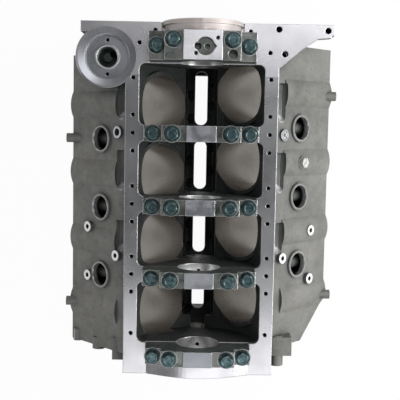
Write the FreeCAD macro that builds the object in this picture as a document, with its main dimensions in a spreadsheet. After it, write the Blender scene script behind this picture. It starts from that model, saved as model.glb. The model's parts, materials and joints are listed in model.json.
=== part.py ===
# Cast-iron 90 degree V8 engine block with its main bearing caps, standing on its two decks.
# Every piece is drawn about the crankshaft axis at the middle main bearing: X to the right
# bank, Y to the flywheel end, Z to the oil pan. Placements then lift the pieces onto the floor.
import FreeCAD, Part
import os
import re
import Sketcher

os.makedirs("parts", exist_ok=True)
doc = FreeCAD.newDocument("engine_block")
Vector = FreeCAD.Vector
Rotation = FreeCAD.Rotation

# ---------------------------------------------------------------- driving dimensions
SIZES = {
    # cylinders and decks, measured along (deck_height) and across each bank's axis
    "bore_pitch": 122.94,
    "bore_radius": 54.0,
    "barrel_wall": 6.5,
    "barrel_foot": 100.0,
    "bore_relief": 18.0,
    "bank_angle": 45.0,
    "bank_stagger": 12.5,
    "deck_height": 248.9,
    "deck_outer": 87.5,
    "deck_inner": 80.0,
    "deck_thickness": 10.0,
    "bulge_rise": 6.0,
    "bulge_radius": 50.0,
    # ends of the casting, beyond the outer cylinders and back from the two end faces
    "front_reach": 54.12,
    "rear_reach": 65.12,
    "left_front_setback": 30.0,
    "left_rear_setback": 49.0,
    "right_front_setback": 44.0,
    "right_rear_setback": 31.0,
    "corner_length": 70.0,
    "corner_side": 38.0,
    "corner_land": 12.0,
    # crankcase
    "rail_outer": 131.0,
    "rail_inner": 107.7,
    "rail_rise": 7.0,
    "front_bulkhead": 14.0,
    "rear_bulkhead": 2.0,
    "bay_corner": 11.0,
    "bulkhead": 26.5,
    "groove_radius": 10.0,
    "groove_depth": 23.0,
    "gallery_half": 30.0,
    "gallery_top": 80.0,
    "gallery_floor": 143.0,
    "floor_depth": 163.0,
    "slot_half": 11.7,
    "slot_margin": 2.0,
    "slot_corner": 11.349,
    "slot_run_out": 20.0,
    "valley_wall": 12.0,
    "valley_foot": 206.0,
    "valley_foot_half": 93.0,
    "front_wall": 35.0,
    "rear_wall": 28.0,
    "wall_overlap": 2.0,
    "plate_side": 25.0,
    "plate_shoulder_half": 120.0,
    "plate_shoulder": 110.0,
    "plate_waist_half": 98.0,
    "plate_waist": 180.0,
    "plate_foot_half": 60.0,
    "plate_foot": 196.0,
    "housing_side": 48.0,
    "housing_foot_half": 80.0,
    "housing_foot": 196.0,
    # oil pan screws
    "rail_hole_row": 117.8,
    "rail_hole_step": 31.0,
    "rail_hole_rear_inset": 25.0,
    "rail_hole_front_inset": 16.0,
    "rail_hole_radius": 3.6,
    "rail_hole_depth": 16.0,
    "rear_screw_row": 81.0,
    "rear_screw_inset": 14.0,
    "pad_screw_row": 115.3,
    "pad_screw_inset": 48.8,
    "corner_screw_inset": 35.0,
    # bearings
    "main_bore_radius": 37.3,
    "front_main_setback": 42.0,
    "snout_radius": 30.0,
    "oil_hole_radius": 3.2,
    "cam_drop": 130.9,
    "cam_bore_radius": 27.5,
    "cam_bearing_wall": 2.6,
    "cam_bearing_length": 20.0,
    "cam_boss_wall": 9.0,
    "cam_plug_depth": 6.0,
    "cam_plug_wall": 3.0,
    # lifter bores
    "lifter_radius": 10.7,
    "lifter_wall": 4.3,
    "lifter_start": 31.0,
    "lifter_length": 58.0,
    "lifter_offset": 22.0,
    "lifter_rail_half": 11.5,
    # water jacket
    "jacket_floor": 118.0,
    "jacket_wall": 6.0,
    "jacket_end": 64.0,
    "core_radius": 20.6,
    "core_rim": 4.6,
    "core_rise": 4.0,
    "core_height": 163.0,
    # head bolts and dowels
    "head_bolt_radius": 5.6,
    "head_bolt_depth": 45.0,
    "head_column": 12.0,
    "dowel_radius": 4.0,
    "dowel_depth": 9.0,
    "dowel_rise": 5.0,
    "dowel_row": 42.0,
    # main caps
    "cap_half_width": 96.5,
    "end_cap_half_width": 90.0,
    "cap_length": 26.5,
    "cap_top": 66.0,
    "cap_inner_top": 62.0,
    "cap_outer_top": 44.0,
    "cap_pad_half": 24.5,
    "cap_step": 65.5,
    "end_cap_step": 62.8,
    "cap_clearance": 1.0,
    "inner_bolt": 48.7,
    "outer_bolt": 81.5,
    "end_outer_bolt": 77.0,
    "bolt_radius": 6.35,
    "inner_bolt_reach": 50.0,
    "outer_bolt_reach": 26.0,
    "hex_radius": 11.0,
    "hex_height": 9.5,
    "washer_radius": 13.5,
    "washer_thickness": 3.0,
    # rear cap, with the seal's half ring and the oil pump's pad
    "rear_cap_setback": 19.0,
    "rear_cap_length": 48.0,
    "rear_inner_setback": 15.0,
    "rear_outer_setback": 24.0,
    "seal_depth": 10.0,
    "seal_radius": 69.0,
    "seal_lip": 3.5,
    "seal_bore_radius": 52.0,
    "pump_pad_half": 32.0,
    "pump_pad_top": 69.5,
    "pump_eye_radius": 15.0,
    "pump_eye_x": 4.0,
    "pump_eye_setback": 26.0,
    "pump_eye_depth": 8.0,
    "pump_feed_radius": 6.0,
    "pump_feed_depth": 24.0,
    "pump_feed_step": 12.5,
    "pump_drive_radius": 4.8,
    "pump_drive_depth": 20.0,
    "pump_drive_step": 3.0,
    "pump_screw_radius": 3.3,
    "pump_screw_depth": 16.0,
    "pump_screw_near": 20.0,
    "pump_screw_far": 15.5,
    "pump_screw_rise": 13.5,
    "pump_screw_drop": 11.5,
    "pump_stud_x": 49.5,
    "pump_stud_setback": 38.0,
    "pump_stud_depth": 27.5,
    "pump_stud_radius": 8.0,
    # oil filter boss
    "filter_x": 163.5,
    "filter_setback": 59.5,
    "filter_radius": 53.0,
    "filter_height": 78.0,
    "filter_dish_radius": 38.0,
    "filter_dish_depth": 14.0,
    "filter_seat_radius": 50.0,
    "filter_seat_drop": 2.5,
    "filter_socket_radius": 17.5,
    "filter_socket_depth": 34.0,
    "filter_lip_width": 4.0,
    "filter_lip_rise": 3.0,
    "filter_oil_radius": 6.6,
    "filter_oil_step": 9.6,
    "filter_oil_depth": 51.0,
    "filter_knob_radius": 7.875,
    "filter_knob_height": 10.2,
    "filter_screw_step": 29.0,
    "filter_screw_radius": 3.2,
    "filter_screw_depth": 12.0,
    # side bosses
    "mount_high": 194.5,
    "mount_low": 114.5,
    "mount_rear": 50.5,
    "mount_middle": 94.5,
    "mount_front": 140.0,
    "mount_rise": 8.0,
    "mount_radius": 9.5,
    "mount_hole_radius": 4.2,
    "mount_hole_depth": 12.5,
    "gallery_boss_height": 115.7,
    "gallery_boss_radius": 10.5,
    "gallery_boss_rise": 5.0,
    "gallery_plug_radius": 6.5,
    "gallery_plug_length": 9.0,
    "drain_height": 166.7,
    "drain_boss_radius": 12.0,
    "drain_rise": 1.0,
    "drain_plug_radius": 7.0,
    "drain_hex_radius": 9.5,
    "drain_hex_height": 6.0,
    "socket_radius": 3.6,
    "socket_depth": 5.0,
    # deck-side ears and front-end bosses
    "ear_radius": 8.5,
    "ear_overhang": 10.13,
    "ear_length": 44.0,
    "ear_left_middle": 110.5,
    "ear_left_front": 196.0,
    "ear_right_rear": 195.0,
    "ear_right_front": 176.0,
    "low_boss_drop": 12.7,
    "low_boss_inset": 4.0,
    "low_boss_radius": 9.0,
    "low_boss_rise": 2.0,
    "high_boss_drop": 69.692,
    "high_boss_inset": 9.0,
    "high_boss_radius": 12.0,
    "high_boss_rise": 7.0,
    "front_boss_length": 22.0,
    "fuel_boss_drop": 3.5,
    "fuel_boss_inset": 1.2,
    "fuel_boss_radius": 12.0,
    "fuel_boss_rise": 32.0,
    "fuel_boss_length": 54.0,
    "front_pad_height": 44.0,
    "left_pad_outer": 153.0,
    "left_pad_width": 24.0,
    "left_pad_length": 40.0,
    "left_pad_rise": 15.0,
    "left_pad_foot": 66.0,
    "fuel_pad_inner": 122.0,
    "fuel_pad_width": 46.0,
    "fuel_pad_length": 33.0,
    "fuel_pad_rise": 13.0,
    "fuel_pad_foot": 52.0,
    # bell housing
    "flange_thickness": 18.0,
    "flange_left": 208.0,
    "flange_right": 224.5,
    "flange_right_side": 34.0,
    "flange_left_side": 42.0,
    "flange_shoulder_half": 176.0,
    "flange_shoulder": 112.0,
    "flange_waist_half": 104.0,
    "flange_waist": 196.0,
    "flange_foot_half": 62.0,
    "flange_foot": 214.0,
    "flange_bolt_radius": 5.2,
    "flange_top_bolt_x": 190.0,
    "flange_top_bolt_z": 28.0,
    "flange_side_bolt_x": 150.0,
    "flange_side_bolt_z": 118.0,
    "flange_foot_bolt_x": 62.0,
    "flange_foot_bolt_z": 198.0,
    "housing_depth": 61.0,
    "housing_recess": 26.0,
    "recess_top": 28.0,
    "recess_inner": 46.0,
    "recess_inner_top": 64.0,
    "recess_inner_drop": 82.0,
    "recess_outer": 118.0,
    "recess_outer_drop": 56.0,
    "recess_foot": 128.0,
    "recess_foot_outer": 84.0,
    "starter_thickness": 18.0,
    "starter_hole_radius": 5.2,
    "starter_hole_depth": 40.0,
    "starter_outer_x": 213.0,
    "starter_outer_inset": 10.0,
    "starter_rear_x": 129.4,
    "starter_rear_inset": 9.0,
    "starter_inner_x": 140.6,
    "starter_inner_inset": 50.5,
    # timing cover and water pump, on the front face
    "timing_recess": 16.0,
    "cover_hole_radius": 3.2,
    "cover_hole_depth": 14.0,
    "timing_top_half": 58.0,
    "timing_top": 20.0,
    "timing_side_half": 70.0,
    "timing_side": 96.0,
    "timing_foot_half": 34.0,
    "timing_foot": 160.0,
    "cover_top_x": 82.0,
    "cover_top_z": 30.0,
    "cover_side_x": 86.0,
    "cover_side_z": 86.0,
    "cover_foot_x": 44.0,
    "cover_foot_z": 176.0,
    "port_across": 54.0,
    "port_height": 150.0,
    "port_radius": 12.0,
    "port_reach": 23.0,
    "port_bolt_step": 24.0,
    "port_bolt_radius": 4.8,
    "port_bolt_depth": 22.0,
    # gallery plugs in the two end faces
    "end_plug_radius": 6.0,
    "end_plug_length": 9.0,
    "front_plug_side": 52.0,
    "front_plug_height": 88.0,
    "rear_plug_side": 30.0,
    "rear_plug_height": 176.0,
}

# places along the engine, from the middle main bearing, that follow from those sizes
PLACES = {
    "front_face": "2 * bore_pitch + front_reach",
    "rear_face": "2 * bore_pitch + rear_reach",
    "left_bank_front": "front_face - left_front_setback",
    "left_bank_rear": "rear_face - left_rear_setback",
    "right_bank_front": "front_face - right_front_setback",
    "right_bank_rear": "rear_face - right_rear_setback",
    "corner_front": "right_bank_front - corner_length",
    "front_main": "front_face - front_main_setback",
    "rear_cap_back": "rear_face - rear_cap_setback",
    "rear_cap_front": "rear_cap_back - rear_cap_length",
    "rear_inner_bolt": "rear_cap_back - rear_inner_setback",
    "rear_outer_bolt": "rear_cap_back - rear_outer_setback",
    "pump_eye_y": "rear_cap_back - pump_eye_setback",
    "pump_stud_y": "rear_cap_back - pump_stud_setback",
    "bay_front": "front_main - front_bulkhead",
    "bay_rear": "rear_cap_front - rear_bulkhead",
    "rail_hole_front": "bay_front - rail_hole_front_inset",
    "rail_hole_rear": "bay_rear - rail_hole_rear_inset",
    "housing_front": "rear_face - housing_depth",
    "filter_y": "rear_face - filter_setback",
}

sizes = doc.addObject("Spreadsheet::Sheet", "sizes")
cells = {alias: str(value) for alias, value in SIZES.items()}
cells.update({alias: f"={formula}" for alias, formula in PLACES.items()})
for row, (alias, content) in enumerate(cells.items(), start=1):
    sizes.set(f"A{row}", alias)
    sizes.set(f"B{row}", content)
    sizes.setAlias(f"B{row}", alias)
doc.recompute()

WORD = re.compile(r"[a-z][a-z_]*")
LIFT = "(deck_height * cos(bank_angle) + deck_inner * sin(bank_angle))"
MIDDLE = "((front_face - rear_face) / 2)"
VALLEY = "-deck_inner / sin(bank_angle)"


def tied(text):
    """The expression with each size's name turned into its cell of the sheet."""
    return WORD.sub(lambda found: "sizes." + found[0] if found[0] in cells else found[0], str(text))


def bind(item, **bound):
    """Bind properties of an object to expressions; X, Y and Z are its position."""
    paths = {"X": "Placement.Base.x", "Y": "Placement.Base.y", "Z": "Placement.Base.z"}
    for name, text in bound.items():
        item.setExpression(paths.get(name, name), tied(text))
    return item


def block(name, x, y, z, x_size, y_size, z_size):
    """A box from its lowest corner and its sides."""
    item = doc.addObject("Part::Box", name)
    return bind(item, X=x, Y=y, Z=z, Length=x_size, Width=y_size, Height=z_size)


TURNS = {
    "+Z": Rotation(),
    "-Z": Rotation(Vector(1, 0, 0), 180),
    "+Y": Rotation(Vector(1, 0, 0), -90),
    "-Y": Rotation(Vector(1, 0, 0), 90),
    "+X": Rotation(Vector(0, 1, 0), 90),
    "-X": Rotation(Vector(0, 1, 0), -90),
}


def rod(name, x, y, z, radius, length, toward="+Z"):
    """A cylinder that starts at a point and runs along an axis."""
    item = doc.addObject("Part::Cylinder", name)
    item.Placement = FreeCAD.Placement(Vector(), TURNS[toward])
    return bind(item, X=x, Y=y, Z=z, Radius=radius, Height=length)


def joined(name, parts):
    """Several solids fused into one."""
    item = doc.addObject("Part::MultiFuse", name)
    item.Shapes = parts
    return item


def without(name, base, tool):
    """A solid with a tool taken out of it."""
    item = doc.addObject("Part::Cut", name)
    item.Base = base
    item.Tool = tool
    return item


def group(name, parts):
    """Separate solids kept together."""
    item = doc.addObject("Part::Compound", name)
    item.Links = parts
    return item


def outline(body, name, corners, role="XZ_Plane", level="0"):
    """A closed sketch of straight lines whose corners are expressions from the origin."""
    sketch = body.newObject("Sketcher::SketchObject", name)
    plane = next(item for item in body.Origin.OriginFeatures if item.Role == role)
    sketch.AttachmentSupport = [(plane, "")]
    sketch.MapMode = "FlatFace"
    sketch.setExpression("AttachmentOffset.Base.z", tied(level))
    start = [Vector(index, index * index, 0) for index in range(len(corners))]
    for index, corner in enumerate(start):
        sketch.addGeometry(Part.LineSegment(corner, start[(index + 1) % len(start)]), False)
    for index in range(len(corners)):
        after = (index + 1) % len(corners)
        sketch.addConstraint(Sketcher.Constraint("Coincident", index, 2, after, 1))
    for index, pair in enumerate(corners):
        for kind, text in zip(("DistanceX", "DistanceY"), pair):
            number = sketch.addConstraint(Sketcher.Constraint(kind, -1, 1, index, 1, 1.0))
            sketch.setExpression(f"Constraints[{number}]", tied(text))
    return sketch


def prism(name, corners, front, rear):
    """A padded body whose outline stands across the engine, between two Y levels."""
    body = doc.addObject("PartDesign::Body", name)
    sketch = outline(body, name + "_outline", corners, "XZ_Plane", f"-({front})")
    pad = body.newObject("PartDesign::Pad", name + "_pad")
    pad.Profile = sketch
    pad.Reversed = True
    bind(pad, Length=f"({rear}) - ({front})")
    return body


def slab(name, corners, bottom, top, rounding=None):
    """A padded body whose outline lies flat, between two heights, with its corners rounded."""
    body = doc.addObject("PartDesign::Body", name)
    sketch = outline(body, name + "_outline", corners, "XY_Plane", bottom)
    pad = body.newObject("PartDesign::Pad", name + "_pad")
    pad.Profile = sketch
    bind(pad, Length=f"({top}) - ({bottom})")
    if rounding:
        doc.recompute()
        upright = [
            f"Edge{number}"
            for number, edge in enumerate(pad.Shape.Edges, start=1)
            if abs(edge.tangentAt(edge.FirstParameter).z) > 0.9
        ]
        soften = body.newObject("PartDesign::Fillet", name + "_fillet")
        soften.Base = (pad, upright)
        bind(soften, Radius=rounding)
    return body


doc.recompute()
MAINS = [
    "-front_main",
    "-bore_pitch",
    "0",
    "bore_pitch",
    "(rear_cap_front + rear_cap_back) / 2",
]
LEFT_CYLINDERS = [f"{step} * bore_pitch - bank_stagger" for step in (-1.5, -0.5, 0.5, 1.5)]
LEFT_COLUMNS = [f"{step} * bore_pitch - bank_stagger" for step in (-2, -1, 0, 1, 2)]


def leaned(item):
    """Stand what was drawn along Z out along the left bank's axis."""
    item.Placement = FreeCAD.Placement(Vector(), Rotation(Vector(0, -1, 0), 135))
    return bind(item, **{"Placement.Rotation.Angle": "180 - bank_angle"})


def turned(name, item):
    """The same pieces on the right bank, half a turn round from the left ones."""
    copy = group(name, [item])
    copy.Placement = FreeCAD.Placement(Vector(), Rotation(Vector(0, 0, 1), 180))
    return copy


def both_banks(name, parts):
    """Pieces drawn in the left bank's frame, fused and set on both banks."""
    left = leaned(joined(name + "_left", parts))
    return [left, turned(name + "_right", left)]


# ---------------------------------------------------------------- outer form of the casting
def bank_half(name, side, front, rear):
    """Half of the V: rail, outer wall, deck and valley wall, to the middle plane."""
    foot = "(deck_outer - rail_outer * cos(bank_angle)) / sin(bank_angle)"
    corners = [
        ("0", "rail_rise"),
        (f"{side} * rail_outer", "rail_rise"),
        (f"{side} * rail_outer", foot),
        (
            f"{side} * (deck_height * sin(bank_angle) + deck_outer * cos(bank_angle))",
            "deck_outer * sin(bank_angle) - deck_height * cos(bank_angle)",
        ),
        (
            f"{side} * (deck_height * sin(bank_angle) - deck_inner * cos(bank_angle))",
            "-deck_inner * sin(bank_angle) - deck_height * cos(bank_angle)",
        ),
        ("0", "-deck_inner / sin(bank_angle)"),
    ]
    return prism(name, corners, front, rear)


outer = [
    bank_half("left_half", -1, "-left_bank_front", "left_bank_rear"),
    bank_half("right_half", 1, "-right_bank_front", "right_bank_rear"),
]


def mirrored(corners):
    """An outline across the engine from the corners of its right half, lowest corner last."""
    across = [(f"-({x})", z) for x, z in reversed(corners)]
    return corners + across


valley_end = mirrored(
    [
        ("valley_wall", f"{VALLEY} + 2 * wall_overlap"),
        ("valley_foot_half", "-valley_foot"),
    ]
)
FRONT_WALL = "front_wall - right_bank_front"
REAR_WALL = "left_bank_rear - rear_wall"
outer.append(prism("front_valley_wall", valley_end, "-right_bank_front", FRONT_WALL))
outer.append(prism("rear_valley_wall", valley_end, REAR_WALL, "left_bank_rear"))

valley_floor = mirrored(
    [
        (f"gallery_floor + {VALLEY} + wall_overlap", "-gallery_floor"),
        (f"floor_depth + {VALLEY} + wall_overlap", "-floor_depth"),
    ]
)
outer.append(prism("valley_floor", valley_floor, FRONT_WALL, REAR_WALL))

front_outline = mirrored(
    [
        ("rail_outer", "rail_rise"),
        ("rail_outer", "-plate_side"),
        ("plate_shoulder_half", "-plate_shoulder"),
        ("plate_waist_half", "-plate_waist"),
        ("plate_foot_half", "-plate_foot"),
    ]
)
outer.append(prism("front_plate", front_outline, "-front_face", "-right_bank_front + jacket_wall"))

rear_outline = mirrored(
    [
        ("rail_outer", "rail_rise"),
        ("rail_outer", "-housing_side"),
        ("housing_foot_half", "-housing_foot"),
    ]
)
outer.append(prism("rear_housing", rear_outline, "housing_front", "rear_face"))

flange_foot = [
    ("flange_shoulder_half", "-flange_shoulder"),
    ("flange_waist_half", "-flange_waist"),
    ("flange_foot_half", "-flange_foot"),
]
flange_outline = (
    [("flange_right", "rail_rise"), ("flange_right", "-flange_right_side")]
    + flange_foot
    + [(f"-{x}", z) for x, z in reversed(flange_foot)]
    + [("-flange_left", "-flange_left_side"), ("-flange_left", "rail_rise")]
)
outer.append(prism("bell_flange", flange_outline, "rear_face - flange_thickness", "rear_face"))

starter_outline = [
    ("rail_inner", "rail_hole_rear"),
    ("rail_outer", "rail_hole_rear + 9"),
    ("rail_outer", "bay_rear - 6"),
    ("rail_outer + 15", "bay_rear + 7"),
    ("rail_outer + 36", "bay_rear + 25"),
    ("rail_outer + 66", "bay_rear + 45"),
    ("flange_right - 6", "rear_face - flange_thickness - 4"),
    ("flange_right", "rear_face - 6"),
    ("flange_right", "rear_face"),
    ("rail_inner", "rear_face"),
]
outer.append(slab("starter_pad", starter_outline, "rail_rise - starter_thickness", "rail_rise"))

outer.append(
    rod("filter_boss", "-filter_x", "filter_y", "rail_rise", "filter_radius", "filter_height", "-Z")
)

for index, main in enumerate(MAINS):
    outer.append(
        rod(
            f"cam_boss_{index + 1}",
            "0",
            f"{main} - bulkhead / 2",
            "-cam_drop",
            "cam_bore_radius + cam_boss_wall",
            "bulkhead",
            "+Y",
        )
    )

# ---------------------------------------------------------------- what both banks carry
CAM_U = "cam_drop * cos(bank_angle)"
LIFTER_ROW = "-cam_drop * sin(bank_angle)"

bank_parts = []
for index, place in enumerate(LEFT_CYLINDERS):
    bank_parts.append(
        rod(
            f"bulge_{index + 1}",
            "deck_outer + bulge_rise - bulge_radius",
            place,
            "jacket_floor",
            "bulge_radius",
            "deck_height - jacket_floor",
        )
    )
    for step in (-1, 1):
        bank_parts.append(
            rod(
                f"lifter_boss_{index * 2 + (step + 3) // 2}",
                LIFTER_ROW,
                f"{place} + {step} * lifter_offset",
                f"{CAM_U} + lifter_start",
                "lifter_radius + lifter_wall",
                "lifter_length",
            )
        )
bank_parts.append(
    block(
        "lifter_rail",
        f"{LIFTER_ROW} - lifter_rail_half",
        "-1.5 * bore_pitch - bank_stagger - 2 * lifter_offset",
        f"{CAM_U} + lifter_start",
        "cam_drop * sin(bank_angle) - deck_inner + lifter_rail_half + 3",
        "3 * bore_pitch + 4 * lifter_offset",
        "lifter_length - 3",
    )
)
for index, place in enumerate(LEFT_COLUMNS[1:4]):
    bank_parts.append(
        rod(
            f"core_rim_{index + 1}",
            "deck_outer - 5",
            place,
            "core_height",
            "core_radius + core_rim",
            "core_rise + 5",
            "+X",
        )
    )
outer += both_banks("bank_bosses", bank_parts)


def wall_rod(name, side, along, place, bottom, radius, length):
    """A cylinder square to a bank's outer wall, from a height across the bank."""
    item = doc.addObject("Part::Cylinder", name)
    item.Placement = FreeCAD.Placement(Vector(), Rotation(Vector(0, side, 0), 45))
    bind(item, **{"Placement.Rotation.Angle": "90 - bank_angle"})
    return bind(
        item,
        X=f"{side} * (({along}) * sin(bank_angle) + ({bottom}) * cos(bank_angle))",
        Y=place,
        Z=f"({bottom}) * sin(bank_angle) - ({along}) * cos(bank_angle)",
        Radius=radius,
        Height=length,
    )


MOUNT_BOSSES = [
    ("rear", "mount_high", "-mount_rear"),
    ("middle", "mount_low", "-mount_middle"),
    ("front", "mount_high", "-mount_front"),
]
DRAIN_PLACE = "0.5 * bore_pitch + bank_stagger"
for side, hand in ((-1, "left"), (1, "right")):
    for label, along, place in MOUNT_BOSSES:
        outer.append(
            wall_rod(
                f"mount_boss_{hand}_{label}",
                side,
                along,
                place,
                "deck_outer - jacket_wall",
                "mount_radius",
                "mount_rise + jacket_wall",
            )
        )
    outer.append(
        wall_rod(
            f"gallery_boss_{hand}",
            side,
            "gallery_boss_height",
            "bore_pitch",
            "deck_outer - jacket_wall",
            "gallery_boss_radius",
            "gallery_boss_rise + jacket_wall",
        )
    )
outer.append(
    wall_rod(
        "drain_boss",
        1,
        "drain_height",
        DRAIN_PLACE,
        "deck_outer - jacket_wall",
        "drain_boss_radius",
        "bulge_rise + drain_rise + jacket_wall",
    )
)

# ears along the outer edges of the decks
EAR_TIP = "((deck_height + deck_outer) * sin(bank_angle) + ear_overhang)"
EAR_LEVEL = "(deck_outer - deck_height) * cos(bank_angle) + ear_overhang"
for name, toward, place in (
    ("left_middle", "-X", "ear_left_middle"),
    ("left_front", "-X", "-ear_left_front"),
    ("right_rear", "+X", "ear_right_rear"),
    ("right_front", "+X", "-ear_right_front"),
):
    start = f"{EAR_TIP} - ear_length" if toward == "+X" else f"ear_length - {EAR_TIP}"
    outer.append(rod("ear_" + name, start, place, EAR_LEVEL, "ear_radius", "ear_length", toward))

# bosses and pads on the front ends of the banks, placed along and across each bank
for name, side, top, bank_end, length in (
    ("low_boss", -1, "deck_height", "left_bank_front", "front_boss_length"),
    ("high_boss", -1, "deck_height", "left_bank_front", "front_boss_length"),
    ("fuel_boss", 1, "jacket_floor", "right_bank_front", "fuel_boss_length"),
):
    along = f"({top} - {name}_drop)"
    across = f"(deck_outer - {name}_inset)"
    x = f"{side} * ({along} * sin(bank_angle) + {across} * cos(bank_angle))"
    z = f"{across} * sin(bank_angle) - {along} * cos(bank_angle)"
    start = f"{length} - {bank_end} - {name}_rise"
    outer.append(rod(f"front_{name}", x, start, z, f"{name}_radius", length, "-Y"))
for name, x, bank_end in (
    ("left_pad", "-left_pad_outer", "left_bank_front"),
    ("fuel_pad", "fuel_pad_inner", "right_bank_front"),
):
    outer.append(
        block(
            f"front_{name}",
            x,
            f"-{bank_end} - {name}_rise",
            f"-{name}_foot",
            f"{name}_width",
            f"{name}_length",
            "front_pad_height",
        )
    )

casting_form = joined("casting_form", outer)

# ---------------------------------------------------------------- hollows
barrels = both_banks(
    "barrels",
    [
        rod(
            f"barrel_{index + 1}",
            "0",
            place,
            "barrel_foot",
            "bore_radius + barrel_wall",
            "deck_height - barrel_foot",
        )
        for index, place in enumerate(LEFT_CYLINDERS)
    ],
)

bays = []
BAY_ENDS = [
    ("-bay_front", "-bore_pitch - bulkhead / 2"),
    ("-bore_pitch + bulkhead / 2", "-bulkhead / 2"),
    ("bulkhead / 2", "bore_pitch - bulkhead / 2"),
    ("bore_pitch + bulkhead / 2", "bay_rear"),
]
for index, (front, rear) in enumerate(BAY_ENDS):
    tag = index + 1
    long = f"({rear}) - ({front})"
    sweep = rod(f"bay_sweep_{tag}", "0", front, "0", "rail_inner", long, "+Y")
    well = block(
        f"bay_well_{tag}", "-rail_inner", front, "0", "2 * rail_inner", long, "rail_rise + 1"
    )
    window = [
        ("-rail_inner", front),
        ("rail_inner", front),
        ("rail_inner", rear),
        ("-rail_inner", rear),
    ]
    plan = slab(f"bay_plan_{tag}", window, "-rail_inner", "rail_rise + 1", "bay_corner")
    room = doc.addObject("Part::MultiCommon", f"bay_{tag}")
    room.Shapes = [joined(f"bay_space_{tag}", [sweep, well]), plan]
    bays.append(room)

bay_hollows = without("bay_hollows", group("bay_spaces", bays), joined("bay_barrels", barrels))

galleries = [
    block(
        f"cam_gallery_{index + 1}",
        "-gallery_half",
        front if index else FRONT_WALL,
        "-gallery_floor",
        "2 * gallery_half",
        f"({rear}) - ({front if index else FRONT_WALL})",
        "gallery_floor - gallery_top",
    )
    for index, (front, rear) in enumerate(BAY_ENDS)
]

# long slots through the valley floor, one to a bay
slots = []
for index, (front, rear) in enumerate(BAY_ENDS):
    start = f"{front if index else FRONT_WALL} + slot_margin"
    end = f"{rear} - slot_margin"
    corners = [("-slot_half", start), ("slot_half", start), ("slot_half", end), ("-slot_half", end)]
    slots.append(
        slab(
            f"valley_slot_{index + 1}",
            corners,
            "-floor_depth - slot_run_out",
            "1 - gallery_floor",
            "slot_corner",
        )
    )

# two rows of head bolts along each deck; the slanted corner leaves no room for the last one
HEAD_BOLTS = [(f"{side} * bore_pitch / 2", place) for place in LEFT_COLUMNS for side in (-1, 1)]
HEAD_BOLTS.pop()
columns = [
    rod(
        f"head_column_{index + 1}",
        across,
        place,
        "jacket_floor - 5",
        "head_column",
        "deck_height - jacket_floor",
    )
    for index, (across, place) in enumerate(HEAD_BOLTS)
]
jacket_barrels = [
    rod(
        f"jacket_barrel_{index + 1}",
        "0",
        place,
        "jacket_floor - 5",
        "bore_radius + barrel_wall",
        "deck_height - jacket_floor",
    )
    for index, place in enumerate(LEFT_CYLINDERS)
]
jacket_box = block(
    "jacket_box",
    "-deck_inner + jacket_wall",
    "-1.5 * bore_pitch - bank_stagger - jacket_end",
    "jacket_floor",
    "deck_outer + deck_inner - 2 * jacket_wall",
    "3 * bore_pitch + 2 * jacket_end",
    "deck_height - deck_thickness - jacket_floor",
)
jacket_space = without("jacket_space", jacket_box, joined("jacket_core", jacket_barrels + columns))

bores = [
    rod(f"bore_{index + 1}", "0", place, "barrel_foot - bore_relief", "bore_radius", "deck_height")
    for index, place in enumerate(LEFT_CYLINDERS)
]
lifter_bores = [
    rod(
        f"lifter_bore_{index * 2 + (step + 3) // 2}",
        LIFTER_ROW,
        f"{place} + {step} * lifter_offset",
        f"{CAM_U}",
        "lifter_radius",
        "lifter_start + lifter_length + 4",
    )
    for index, place in enumerate(LEFT_CYLINDERS)
    for step in (-1, 1)
]
core_holes = [
    rod(
        f"core_hole_{index + 1}",
        "deck_outer - jacket_wall - 2",
        place,
        "core_height",
        "core_radius",
        "jacket_wall + core_rise + 4",
        "+X",
    )
    for index, place in enumerate(LEFT_COLUMNS[1:4])
]
head_bolt_holes = [
    rod(
        f"head_bolt_hole_{index + 1}",
        across,
        place,
        "deck_height - head_bolt_depth",
        "head_bolt_radius",
        "head_bolt_depth + 1",
    )
    for index, (across, place) in enumerate(HEAD_BOLTS)
]

hollows = [bay_hollows] + galleries + slots
hollows += both_banks("jacket", [jacket_space] + core_holes)
hollows += both_banks("bank_holes", bores + lifter_bores + head_bolt_holes)
hollows.append(
    rod(
        "main_bore",
        "0",
        "timing_recess - front_face",
        "0",
        "main_bore_radius",
        "front_face + rear_cap_back - timing_recess",
        "+Y",
    )
)
hollows.append(
    rod("snout_bore", "0", "-front_face - 1", "0", "snout_radius", "timing_recess + 2", "+Y")
)
hollows.append(
    rod(
        "seal_bore",
        "0",
        "rear_cap_back - seal_depth",
        "0",
        "seal_bore_radius",
        "rear_face - rear_cap_back + seal_depth + 1",
        "+Y",
    )
)
hollows.append(
    rod(
        "cam_bore",
        "0",
        "-front_face - 1",
        "-cam_drop",
        "cam_bore_radius",
        "front_face + rear_face + 2",
        "+Y",
    )
)
for index, main in enumerate(MAINS):
    hollows.append(
        rod(f"oil_feed_{index + 1}", "0", main, "-cam_drop", "oil_hole_radius", "cam_drop - 20")
    )
timing_outline = mirrored(
    [
        ("timing_top_half", "-timing_top"),
        ("timing_side_half", "-timing_side"),
        ("timing_foot_half", "-timing_foot"),
    ]
)
hollows.append(
    prism("timing_space", timing_outline, "-front_face - 1", "timing_recess - front_face")
)
recess_corners = [
    ("recess_inner_top", "-recess_top"),
    ("recess_outer", "-recess_top"),
    ("recess_outer", "-recess_outer_drop"),
    ("recess_foot_outer", "-recess_foot"),
    ("recess_inner", "-recess_foot"),
    ("recess_inner", "-recess_inner_drop"),
]
for hand, corners in (
    ("right", recess_corners),
    ("left", [(f"-{x}", z) for x, z in reversed(recess_corners)]),
):
    hollows.append(
        prism(f"rear_recess_{hand}", corners, "rear_face - housing_recess", "rear_face + 1")
    )
HALF_CHANNEL = "cap_half_width + cap_clearance"
END_CHANNEL = "end_cap_half_width + cap_clearance"
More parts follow.
